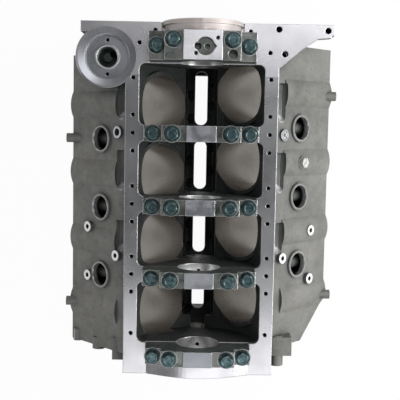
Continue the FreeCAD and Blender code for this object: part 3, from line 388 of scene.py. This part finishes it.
SAND_DARK = (0.108, 0.112, 0.103)
SAND_LIGHT = (0.225, 0.222, 0.208)
SAND_BLOTCH = (0.25, 0.245, 0.23)
RUST = (0.20, 0.155, 0.115)
PIT = (0.055, 0.060, 0.056)
PAINTED_CREVICE_SHADE = (0.045, 0.055, 0.052)
PAINTED_BAY_SHADE = (0.016, 0.023, 0.021)
PAINTED_POCKET_HIGHLIGHT = (0.58, 0.58, 0.60)
WORN_AND_HIGHLIT_EDGE = (0.50, 0.50, 0.49)
MILLED = ((0.48, 0.48, 0.50), (0.66, 0.65, 0.69))
PAINTED_DIM_REFLECTION = (0.22, 0.23, 0.235)
HONED = ((0.16, 0.150, 0.135), (0.33, 0.305, 0.28))
DULL_CUT = ((0.32, 0.33, 0.36), (0.50, 0.51, 0.55))
PAINTED_SOCKET_SHADE = (0.014, 0.024, 0.021)
WORN_AND_HIGHLIT_CUT_EDGE = (0.86, 0.85, 0.88)
BOSS_FACE = (0.86, 0.85, 0.86)
SADDLE = (0.66, 0.66, 0.66)


def flat_cuts(iron, y, z, crank_place):
    """The rails, the caps' joint, both end faces and both decks."""
    up = (0, 0, 1)
    cuts = []
    for level in (RAIL_TOP, CRANK):
        cuts.append(iron.times(iron.near(z, level, PLANE_REACH), iron.facing_to(up)))
    for level, toward in ((casting_low.y, -1), (casting_high.y, 1)):
        cuts.append(iron.times(iron.near(y, level, PLANE_REACH), iron.facing_to((0, toward, 0))))
    for side in HANDS:
        height = iron.along(crank_place, bank_direction(side))
        square = iron.facing_to(bank_direction(side))
        cuts.append(iron.times(iron.near(height, DECK_HEIGHT, PLANE_REACH), square))
    return iron.either(*cuts)


def wall_cuts(iron, crank_place, rise):
    """Boss faces that stand a rise above the banks' outer walls."""
    cuts = []
    for side in HANDS:
        width = iron.along(crank_place, wall_direction(side))
        square = iron.facing_to(wall_direction(side))
        cuts.append(iron.times(iron.near(width, DECK_OUTER + rise, BOSS_REACH), square))
    return iron.either(*cuts)


def honed_walls(iron, y, crank_place):
    """The eight cylinder walls, each round its own axis."""
    walls = []
    for side in HANDS:
        height = iron.along(crank_place, bank_direction(side))
        width = iron.along(crank_place, wall_direction(side))
        under_deck = iron.below(height, DECK_HEIGHT + PLANE_REACH)
        tall = iron.times(iron.above(height, HONED_START), under_deck)
        lean = iron.size(iron.along(iron.facing, bank_direction(side)))
        upright = iron.times(tall, iron.below(lean, HONED_LEAN))
        for number in CYLINDERS[side]:
            centre = MOUNTS[f"cylinder_{number}"]["pos_m"][1]
            wall_reach = iron.axis_reach(width, iron.maths("SUBTRACT", y, centre))
            walls.append(iron.times(iron.near(wall_reach, BORE, HONED_REACH), upright))
    return iron.either(*walls)


def main_saddles(iron, x, z):
    """The main bearing bore, where it shows in the bulkheads."""
    main_reach = iron.axis_reach(x, iron.maths("SUBTRACT", z, CRANK))
    level_bore = iron.below(iron.size(iron.along(iron.facing, (0, 1, 0))), SADDLE_LEAN)
    return iron.times(iron.near(main_reach, MAIN_BORE, SADDLE_REACH), level_bore)


def inside_bays(iron, x, y, z):
    """The crankcase below its rails, whose walls get painted shade."""
    across = iron.below(iron.size(x), BAY_HALF)
    down = iron.below(z, RAIL_TOP - BAY_START)
    lengthwise = iron.below(iron.size(y), BAY_REACH)
    return iron.times(iron.times(across, down), lengthwise)


def sand_skin(iron, bays, edge):
    """The cast skin's colour: blotches, rust and pits, painted shade in corners, holes and the bays,
    painted highlight at the pocket ends, and edges brightened by wear and painted highlight.
    """
    tone = iron.between(iron.noise(9.0, 5.0, 0.6), 0.3, 0.72)
    blotch = iron.between(iron.noise(55.0, 4.0, 0.6), 0.35, 0.7)
    rust = iron.between(iron.noise(24.0, 5.0, 0.65), 0.58, 0.74)
    pits = iron.between(iron.noise(210.0, 2.0, 0.5), 0.60, 0.70)
    # painted highlight: bright spots at the front ends of the pockets beside the rails
    pocket_highlights = [
        iron.around((side * POCKET_LINE, place, RAIL_TOP - POCKET_DEEP), POCKET_HIGHLIGHT_RADIUS)
        for side in HANDS
        for place in POCKET_ENDS
    ]
    cast = iron.tint(tone, SAND_DARK, SAND_LIGHT)
    cast = iron.tint(iron.times(blotch, 0.35), cast, SAND_BLOTCH)
    cast = iron.tint(iron.times(rust, 0.3), cast, RUST)
    cast = iron.tint(iron.times(pits, 0.4), cast, PIT)
    # painted shade: the skin is darkened in corners, creases and holes, where little light reaches
    cast = iron.tint(iron.openness(0.03, 0.8), PAINTED_CREVICE_SHADE, cast)
    # painted shade: the crankcase bays under the rails are painted nearly black
    cast = iron.tint(iron.times(bays, 0.84), cast, PAINTED_BAY_SHADE)
    cast = iron.tint(iron.times(iron.either(*pocket_highlights), 0.8), cast, PAINTED_POCKET_HIGHLIGHT)
    # edges of the skin brightened: partly wear, partly painted highlight
    return iron.tint(iron.times(edge, 0.55), cast, WORN_AND_HIGHLIT_EDGE)


def casting_material():
    """Sand-cast iron with machined faces picked out by where they lie and face."""
    iron = Finish("grey_iron_casting")
    x = iron.along(iron.place, (1, 0, 0))
    y = iron.along(iron.place, (0, 1, 0))
    z = iron.along(iron.place, (0, 0, 1))
    crank_place = iron.shifted(iron.place, (0, 0, -CRANK))
    eased = iron.softened(0.0016)
    # convex edges, brightened below as worn edges and as painted highlight
    edge = iron.times(iron.edges(eased), iron.openness(0.004, 0.25))

    machined = flat_cuts(iron, y, z, crank_place)
    bosses = wall_cuts(iron, crank_place, MOUNT_BOSS_RISE)
    seat_reach = iron.axis_reach(
        iron.maths("SUBTRACT", x, FILTER_SEAT.x), iron.maths("SUBTRACT", y, FILTER_SEAT.y)
    )
    seat = iron.times(iron.below(seat_reach, SEAT_REACH), iron.above(z, RAIL_TOP - SEAT_DEPTH))
    seat = iron.either(seat, wall_cuts(iron, crank_place, PLUG_BOSS_RISE))
    socket = iron.times(iron.below(seat_reach, SOCKET_REACH), iron.below(z, RAIL_TOP - SOCKET_START))
    honed = honed_walls(iron, y, crank_place)
    saddles = main_saddles(iron, x, z)
    cuts = iron.either(machined, seat, bosses)
    polished = iron.either(cuts, honed, saddles)

    # painted reflection: the milled faces are painted darker from the flywheel end forward, less so
    # towards the front, and the flywheel end stays brighter than the rails
    dim_reflection = iron.times(iron.below(y, DIM_REFLECTION_END), iron.between(y, -0.26, -0.10, 0.35, 1.0))
    milled = iron.tint(iron.noise(30.0, 4.0), *MILLED)
    milled = iron.tint(iron.times(dim_reflection, 0.62), milled, PAINTED_DIM_REFLECTION)
    colour = iron.tint(machined, sand_skin(iron, inside_bays(iron, x, y, z), edge), milled)
    colour = iron.tint(seat, colour, iron.tint(iron.noise(26.0, 4.0), *DULL_CUT))
    # painted shade: the filter socket's bore is painted nearly black
    colour = iron.tint(iron.times(socket, 0.9), colour, PAINTED_SOCKET_SHADE)
    # edges of the cut faces brightened: partly wear, partly painted highlight
    colour = iron.tint(iron.times(iron.times(edge, cuts), 0.7), colour, WORN_AND_HIGHLIT_CUT_EDGE)
    colour = iron.tint(bosses, colour, BOSS_FACE)
    colour = iron.tint(honed, colour, iron.tint(iron.noise(16.0, 3.0), *HONED))
    colour = iron.tint(saddles, colour, SADDLE)

    metal = iron.between(polished, 0, 1, 0.30, iron.between(bosses, 0, 1, 0.9, 0.35))
    cast_rough = iron.between(iron.noise(70.0, 2.0), 0.3, 0.7, 0.48, 0.70)
    cut_rough = iron.between(iron.noise(18.0, 3.0), 0.3, 0.7, 0.24, 0.34)
    rough = iron.between(polished, 0, 1, cast_rough, cut_rough)

    # lumps of the mould, its swells and sand grain, and the cutter's marks on what was cut
    raw = iron.maths("SUBTRACT", 1.0, polished)
    normal = iron.bump(iron.noise(17.0, 2.0, 0.5), 0.006, iron.times(raw, 0.8), eased)
    normal = iron.bump(iron.noise(60.0, 3.0, 0.5), 0.0022, iron.times(raw, 0.8), normal)
    normal = iron.bump(iron.noise(620.0, 3.0, 0.6), 0.0007, iron.times(raw, 0.9), normal)
    marks = iron.noise(900.0, 2.0, 0.5, iron.stretched((1.0, 0.02, 1.0)))
    normal = iron.bump(marks, 0.0001, iron.times(polished, 0.3), normal)
    return iron.finish(colour, metal, rough, normal)


def dress(node, made):
    """Give a node of the frame its finish."""
    for slot in frame["nodes"][node].material_slots:
        slot.material = made


dress("block_casting", casting_material())


# ---------------------------------------------------------------- main bearing caps
# Five iron caps close over the crankshaft. Their tops are milled, with a bright raised pad
# in the middle and edges brightened by wear and painted highlight, and their flanks keep the darker
# cast skin.
PAD_START = 0.0655
SEAL_LENGTH = 0.0188
SEAL_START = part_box("main_cap_5")[1].y - SEAL_LENGTH
REAR_CAP_START = 0.2
CAP_TOP = ((0.060, 0.074, 0.067), (0.23, 0.235, 0.225))
CAP_PAD = ((0.26, 0.27, 0.295), (0.38, 0.39, 0.42))
FRONT_PAD = (0.16, 0.17, 0.185)
PUMP_PAD = ((0.60, 0.60, 0.63), (0.80, 0.79, 0.83))
CAP_FLANK = ((0.05, 0.066, 0.062), (0.12, 0.138, 0.128))
SEAL_BAND = ((0.42, 0.36, 0.32), (0.66, 0.62, 0.62))
CAP_EDGE = (0.86, 0.86, 0.84)


def cap_material():
    """Iron with a stained milled top, a brighter pad and a turned seal band at the rear."""
    iron = Finish("bearing_cap_iron")
    y = iron.along(iron.place, (0, 1, 0))
    z = iron.along(iron.place, (0, 0, 1))
    top = iron.facing_to((0, 0, 1))
    pad = iron.above(z, CRANK + PAD_START)
    rear_pad = iron.times(pad, iron.above(y, REAR_CAP_START))
    tone = iron.between(iron.noise(38.0, 5.0, 0.65), 0.34, 0.66)
    pad_tone = iron.tint(iron.between(y, -0.2, -0.06, 0.45, 0.0), iron.tint(tone, *CAP_PAD), FRONT_PAD)
    milled = iron.tint(pad, iron.tint(tone, *CAP_TOP), pad_tone)
    milled = iron.tint(rear_pad, milled, iron.tint(tone, *PUMP_PAD))
    colour = iron.tint(top, iron.tint(tone, *CAP_FLANK), milled)
    turned_tone = iron.noise(60.0, 2.0, 0.5, iron.stretched((0.1, 4.0, 0.1)))
    colour = iron.tint(iron.above(y, SEAL_START), colour, iron.tint(turned_tone, *SEAL_BAND))
    eased = iron.softened(0.0015)
    edge = iron.times(iron.edges(eased, 0.04, 0.14), iron.openness(0.003, 0.3))
    # edges brightened: partly wear, partly painted highlight
    colour = iron.tint(iron.times(edge, 0.9), colour, CAP_EDGE)
    rough = iron.between(top, 0, 1, 0.5, iron.between(tone, 0.3, 0.7, 0.28, 0.42))
    marks = iron.noise(700.0, 2.0, 0.5, iron.stretched((0.03, 1.0, 1.0)))
    normal = iron.bump(marks, 0.0002, iron.times(top, 0.4), eased)
    normal = iron.bump(iron.noise(500.0, 3.0), 0.0003, iron.between(top, 0, 1, 0.6, 0.1), normal)
    return iron.finish(colour, iron.between(top, 0, 1, 0.4, 0.85), rough, normal)


cap_finish = cap_material()
for number in range(1, 6):
    dress(f"main_cap_{number}", cap_finish)


# ---------------------------------------------------------------- front lip
# Ahead of the front cap a broad low arch closes over the crankshaft's nose. It stands on
# the rails' own plane and is milled as bright as they are.
LIP_BORE = 0.0300
LIP_HALF = 0.0900
LIP_END = 0.0030
LIP_RISE = 0.0265
LIP_STEPS = 28
LIP_SHAPE = 1.2
LIP_LIFT = 0.0001
FRONT_GAP = 0.0002
CAP_GAP = 0.0005
LIP_EASE = 0.0008
LIP_TONES = ((0.50, 0.50, 0.52), (0.70, 0.69, 0.73))


def lip_outline():
    """The arch across the engine: its bore, then its broad back, from the rail plane up."""
    foot = RAIL_TOP - CRANK
    start = asin(foot / LIP_BORE)
    inner = []
    for step in range(LIP_STEPS + 1):
        angle = start + (pi - 2 * start) * step / LIP_STEPS
        inner.append((LIP_BORE * cos(angle), LIP_BORE * sin(angle)))
    outer = [(-LIP_HALF, foot)]
    for step in range(LIP_STEPS + 1):
        share = 2 * step / LIP_STEPS - 1
        rise = LIP_RISE * (1 - share * share) ** LIP_SHAPE
        outer.append((LIP_HALF * share, foot + LIP_END + rise))
    outer.append((LIP_HALF, foot))
    return inner + outer


def milled_material():
    """Iron fresh from the milling cutter."""
    iron = Finish("milled_rail_iron")
    colour = iron.tint(iron.noise(30.0, 4.0), *LIP_TONES)
    marks = iron.noise(900.0, 2.0, 0.5, iron.stretched((1.0, 0.02, 1.0)))
    rough = iron.between(iron.noise(18.0, 3.0), 0.3, 0.7, 0.26, 0.36)
    return iron.finish(colour, 0.85, rough, iron.bump(marks, 0.0001, 0.3, iron.softened(0.001)))


def band(shape, lower, upper):
    """Faces between two rings of the same count."""
    count = len(lower)
    for index in range(count):
        after = (index + 1) % count
        shape.faces.new((lower[index], lower[after], upper[after], upper[index]))


def shown(name, shape, made, smooth=False):
    """Turn a finished shape into a piece that rides on the block."""
    bmesh.ops.recalc_face_normals(shape, faces=shape.faces)
    for face in shape.faces:
        face.smooth = smooth
    mesh = bpy.data.meshes.new(name)
    shape.to_mesh(mesh)
    shape.free()
    mesh.materials.append(made)
    piece = bpy.data.objects.new(name, mesh)
    scene.collection.objects.link(piece)
    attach(piece, "root")
    return piece


shape = bmesh.new()
front_end = casting_low.y + FRONT_GAP
rear_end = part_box("main_cap_1")[0].y - CAP_GAP
loops = []
for y in (front_end, rear_end):
    loops.append([shape.verts.new((x, y, CRANK + LIP_LIFT + z)) for x, z in lip_outline()])
band(shape, loops[0], loops[1])
for loop in loops:
    shape.faces.new(loop)
lip = shown("front_lip", shape, milled_material())
ease = lip.modifiers.new("eased_edges", "BEVEL")
ease.width = LIP_EASE
ease.segments = 2
ease.limit_method = "ANGLE"


# ---------------------------------------------------------------- core hole seats
# Six core holes open into the water jacket. Each has a bright chamfered seat for its cup
# plug at the mouth of its boss, left open as the casting came from the machine.
CORE_HEIGHT = 0.163
CORE_RADIUS = 0.0206
CORE_RISE = 0.004
CORE_CORNERS = 64
SEAT_FOOT = -0.0070
CORE_SEAT = (
    (CORE_RADIUS - 0.0003, SEAT_FOOT),
    (CORE_RADIUS - 0.0003, -0.0014),
    (CORE_RADIUS + 0.0008, 0.0003),
    (CORE_RADIUS + 0.0016, 0.0003),
    (CORE_RADIUS + 0.0019, -0.0004),
    (CORE_RADIUS + 0.0019, SEAT_FOOT),
)
SEAT_TONES = ((0.34, 0.36, 0.36), (0.62, 0.63, 0.64))


def seat_material():
    """Iron that a cutter has just left, with a fine grain."""
    iron = Finish("machined_seat")
    colour = iron.tint(iron.noise(90.0, 4.0, 0.6), *SEAT_TONES)
    rough = iron.between(iron.noise(200.0, 2.0), 0.3, 0.7, 0.25, 0.42)
    return iron.finish(colour, 0.8, rough, iron.bump(iron.noise(800.0, 2.0), 0.0001, 0.4))


def ring_of(shape, centre, radii, heights, turn=0.0):
    """A ring of corners round a centre, each with its own radius and height."""
    corners = []
    for index, (radius, height) in enumerate(zip(radii, heights)):
        angle = turn + 2 * pi * index / len(radii)
        spot = centre + Vector((radius * cos(angle), radius * sin(angle), height))
        corners.append(shape.verts.new(spot))
    return corners


def round_ring(shape, centre, radius, height, count, turn=0.0):
    """A ring of corners on a circle."""
    return ring_of(shape, centre, [radius] * count, [height] * count, turn)


def lathed(shape, centre, outline, count, turn=None):
    """A closed outline of radii and heights, turned about the centre's own axis."""
    rings = [round_ring(shape, Vector(), radius, height, count) for radius, height in outline]
    for lower, upper in zip(rings, rings[1:] + rings[:1]):
        band(shape, lower, upper)
    place = Matrix.Translation(centre)
    if turn is not None:
        place = place @ turn.to_matrix().to_4x4()
    bmesh.ops.transform(shape, matrix=place, verts=[corner for ring in rings for corner in ring])


machined_seat = seat_material()
for side, hand in HANDS.items():
    rows = [MOUNTS[f"cylinder_{number}"]["pos_m"][1] for number in CYLINDERS[side]]
    upward = wall_direction(side).to_track_quat("Z", "Y")
    for index, (front, rear) in enumerate(zip(rows, rows[1:])):
        centre = Vector((0, (front + rear) / 2, CRANK))
        centre += bank_direction(side) * CORE_HEIGHT
        centre += wall_direction(side) * (DECK_OUTER + CORE_RISE)
        shape = bmesh.new()
        lathed(shape, centre, CORE_SEAT, CORE_CORNERS, upward)
        shown(f"core_seat_{hand}_{index + 1}", shape, machined_seat)


# ---------------------------------------------------------------- oil filter socket
# The filter's adapter screws into a deep threaded socket. A rounded lip stands round its
# mouth, polished by the tool, and the thread runs down the bore below it, painted nearly black as
# shade.
SOCKET_RADIUS = 0.0175
DISH_FLOOR = -0.0140
RIM_MIDDLE = SOCKET_RADIUS + 0.0021
RIM_HALF = 0.0023
RIM_RISE = 0.0026
RIM_LIFT = 0.0012
RIM_ROOT = DISH_FLOOR - 0.003
RIM_STEPS = 12
RIM_CORNERS = 72
THREAD_START = DISH_FLOOR - 0.001
THREAD_PITCH = 0.0021
THREAD_DEPTH = 0.0011
THREAD_SINK = 0.0001
THREAD_TURNS = 8
TURN_STEPS = 48
THREAD_TONES = ((0.020, 0.034, 0.030), (0.085, 0.115, 0.100))

shape = bmesh.new()
rim = []
for step in range(RIM_STEPS + 1):
    angle = pi * step / RIM_STEPS
    height = DISH_FLOOR + RIM_LIFT + RIM_RISE * sin(angle)
    rim.append((RIM_MIDDLE + RIM_HALF * cos(angle), height))
rim += [(RIM_MIDDLE - RIM_HALF, RIM_ROOT), (RIM_MIDDLE + RIM_HALF, RIM_ROOT)]
lathed(shape, FILTER_SEAT, rim, RIM_CORNERS)
shown("filter_socket_lip", shape, machined_seat, smooth=True)


def thread_material():
    """Very dark iron for the thread deep in the socket."""
    iron = Finish("dark_thread_iron")
    tone = iron.noise(150.0, 3.0)
    rough = iron.between(tone, 0.3, 0.7, 0.25, 0.45)
    return iron.finish(iron.tint(tone, *THREAD_TONES), 0.6, rough, iron.bump(tone, 0.0002))


# the thread's ridge: three corners to a step, its tip 0.45 of a pitch down from its top
RIDGE = ((THREAD_SINK, 0.0), (-THREAD_DEPTH, 0.45), (THREAD_SINK, 0.9))
shape = bmesh.new()
ribs = []
for step in range(TURN_STEPS * THREAD_TURNS + 1):
    angle = 2 * pi * step / TURN_STEPS
    top = THREAD_START - THREAD_PITCH * step / TURN_STEPS
    rib = []
    for reach, drop in RIDGE:
        radius = SOCKET_RADIUS + reach
        spot = Vector((radius * cos(angle), radius * sin(angle), top - drop * THREAD_PITCH))
        rib.append(shape.verts.new(FILTER_SEAT + spot))
    ribs.append(rib)
for before, after in zip(ribs, ribs[1:]):
    band(shape, before, after)
shape.faces.new(ribs[0])
shape.faces.new(ribs[-1])
shown("filter_socket_thread", shape, thread_material())


# ---------------------------------------------------------------- main cap bolts
# Hexagon bolts, four to a cap, each forged with a chamfered and dished head and a washer
# face below it. Black oxide has turned the steel a dark teal, and the corners are worn.
WASHER_RADIUS = 0.0135
WASHER_THICKNESS = 0.003
INNER_BOLT = 0.0487
OUTER_REACH = 0.026
HEX_FLAT = 0.00953
HEAD_HEIGHT = 0.0095
HEAD_CORNERS = 36
FACE_HEIGHT = 0.0004
HEX_START = 0.0006
CHAMFER_ANGLE = radians(30)
CHAMFER_START = 0.96 * HEX_FLAT
DISH_DEPTH = 0.0007
SHANK_RADIUS = 0.0062
POINT_LENGTH = 0.002
WORN_STEEL = (0.55, 0.60, 0.60)
BLACK_OXIDE = ((0.030, 0.060, 0.066), (0.10, 0.155, 0.165))


def steel_material(name, tones, rough_low, rough_high):
    """Steel in two close tones, with worn edges and fine tool marks."""
    steel = Finish(name)
    eased = steel.softened(0.0005)
    colour = steel.tint(steel.between(steel.noise(140.0, 4.0, 0.6), 0.35, 0.65), *tones)
    colour = steel.tint(steel.times(steel.edges(eased), 0.6), colour, WORN_STEEL)
    rough = steel.between(steel.noise(300.0, 2.0), 0.3, 0.7, rough_low, rough_high)
    normal = steel.bump(steel.noise(900.0, 2.0), 0.0001, 0.5, eased)
    return steel.finish(colour, 0.8, rough, normal)


def bolt_places(number):
    """Where one cap's bolts stand, each with the top of its washer, from the washers' box."""
    low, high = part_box(f"main_washers_{number}")
    far = high.x - WASHER_RADIUS
    outer_y = low.y + WASHER_RADIUS
    inner_y = high.y - WASHER_RADIUS
    outer = [Vector((side * far, outer_y, low.z + WASHER_THICKNESS)) for side in (-1, 1)]
    inner = [Vector((side * INNER_BOLT, inner_y, high.z)) for side in (-1, 1)]
    return outer + inner


def hex_bolt(shape, seat, turn, shank_foot):
    """A bolt from the tip of its shank up to the dish in its head."""
    tip = shank_foot - seat.z
    hexagon = []
    for index in range(HEAD_CORNERS):
        off_flat = (2 * pi * index / HEAD_CORNERS + pi / 6) % (pi / 3) - pi / 6
        hexagon.append(HEX_FLAT / cos(off_flat))
    shoulder = [HEAD_HEIGHT - (radius - CHAMFER_START) * tan(CHAMFER_ANGLE) for radius in hexagon]
    below = (
        (0.75 * SHANK_RADIUS, tip),
        (SHANK_RADIUS, tip + POINT_LENGTH),
        (SHANK_RADIUS, FACE_HEIGHT),
        (0.97 * HEX_FLAT, FACE_HEIGHT),
    )
    above = (
        (0.93 * HEX_FLAT, HEAD_HEIGHT),
        (0.72 * HEX_FLAT, HEAD_HEIGHT),
        (0.62 * HEX_FLAT, HEAD_HEIGHT - DISH_DEPTH),
    )
    rings = [round_ring(shape, seat, *corner, HEAD_CORNERS, turn) for corner in below]
    rings.append(ring_of(shape, seat, hexagon, [HEX_START] * HEAD_CORNERS, turn))
    rings.append(ring_of(shape, seat, hexagon, shoulder, turn))
    rings += [round_ring(shape, seat, *corner, HEAD_CORNERS, turn) for corner in above]
    for lower, upper in zip(rings, rings[1:]):
        band(shape, lower, upper)
    shape.faces.new(rings[-1])
    shape.faces.new(list(reversed(rings[0])))


bolt_steel = steel_material("black_oxide_steel", BLACK_OXIDE, 0.22, 0.42)
turning = random.Random(8)
for number in range(1, 6):
    shape = bmesh.new()
    inner_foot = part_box(f"main_bolts_{number}")[0].z
    for index, seat in enumerate(bolt_places(number)):
        shank_foot = inner_foot if index > 1 else CRANK - OUTER_REACH
        hex_bolt(shape, seat, turning.uniform(0.0, pi / 3), shank_foot)
    bolts = shown(f"cap_bolts_{number}", shape, bolt_steel)
    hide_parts(f"main_bolts_{number}")


# ---------------------------------------------------------------- main cap washers
# Thick hardened washers, one under each bolt head. They are turned from blued steel with
# both rims and the top of the eye chamfered, and the bolts clamp them to the cap.
WASHER_CHAMFER = 0.0005
WASHER_EYE = SHANK_RADIUS + 0.0003
WASHER_CORNERS = 36
WASHER_OUTLINE = (
    (WASHER_EYE, 0.0),
    (WASHER_RADIUS - WASHER_CHAMFER, 0.0),
    (WASHER_RADIUS, WASHER_CHAMFER),
    (WASHER_RADIUS, WASHER_THICKNESS - WASHER_CHAMFER),
    (WASHER_RADIUS - WASHER_CHAMFER, WASHER_THICKNESS),
    (WASHER_EYE + WASHER_CHAMFER, WASHER_THICKNESS),
    (WASHER_EYE, WASHER_THICKNESS - WASHER_CHAMFER),
)
WASHER_TOP = Vector((0, 0, WASHER_THICKNESS))
BLUED_STEEL = ((0.025, 0.042, 0.044), (0.085, 0.115, 0.115))

washer_steel = steel_material("blued_washer_steel", BLUED_STEEL, 0.28, 0.5)
for number in range(1, 6):
    shape = bmesh.new()
    for seat in bolt_places(number):
        lathed(shape, seat - WASHER_TOP, WASHER_OUTLINE, WASHER_CORNERS)
    washers = shown(f"cap_washers_{number}", shape, washer_steel)
    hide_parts(f"main_washers_{number}")


# ---------------------------------------------------------------- spot faces
# Each washer lies on a spot face that the cutter left with a thin bright rim, a little
# proud of the cap's own grey top.
SPOT_CORNERS = 48
SPOT_RIM = (
    (WASHER_RADIUS + 0.0002, 0.0),
    (WASHER_RADIUS + 0.0003, 0.0005),
    (WASHER_RADIUS + 0.0012, 0.0006),
    (WASHER_RADIUS + 0.0016, 0.0),
)
for number in range(1, 6):
    shape = bmesh.new()
    for seat in bolt_places(number):
        lathed(shape, seat - WASHER_TOP, SPOT_RIM, SPOT_CORNERS)
    shown(f"cap_spot_faces_{number}", shape, machined_seat)


# ---------------------------------------------------------------- plugs and dowels
# Screw plugs close the galleries and the water jacket, a pressed cup closes the camshaft
# bore, and two dowel pins stand out of each deck. All are bright zinc-plated steel.
ZINC_PLATE = ((0.52, 0.52, 0.50), (0.78, 0.77, 0.75))
plug_steel = steel_material("zinc_plated_steel", ZINC_PLATE, 0.22, 0.40)
for node in (
    "cam_bore_plug",
    "drain_plug",
    "side_gallery_plug",
    "front_gallery_plugs",
    "rear_gallery_plugs",
    "head_dowels_left",
    "head_dowels_right",
):
    dress(node, plug_steel)


# ---------------------------------------------------------------- camshaft bearings
# The camshaft turns in five thin sleeves of steel-backed white metal, pressed into the
# bulkheads one behind the other.
WHITE_METAL = ((0.36, 0.35, 0.34), (0.56, 0.55, 0.53))
dress("cam_bearings", steel_material("white_metal", WHITE_METAL, 0.25, 0.4))
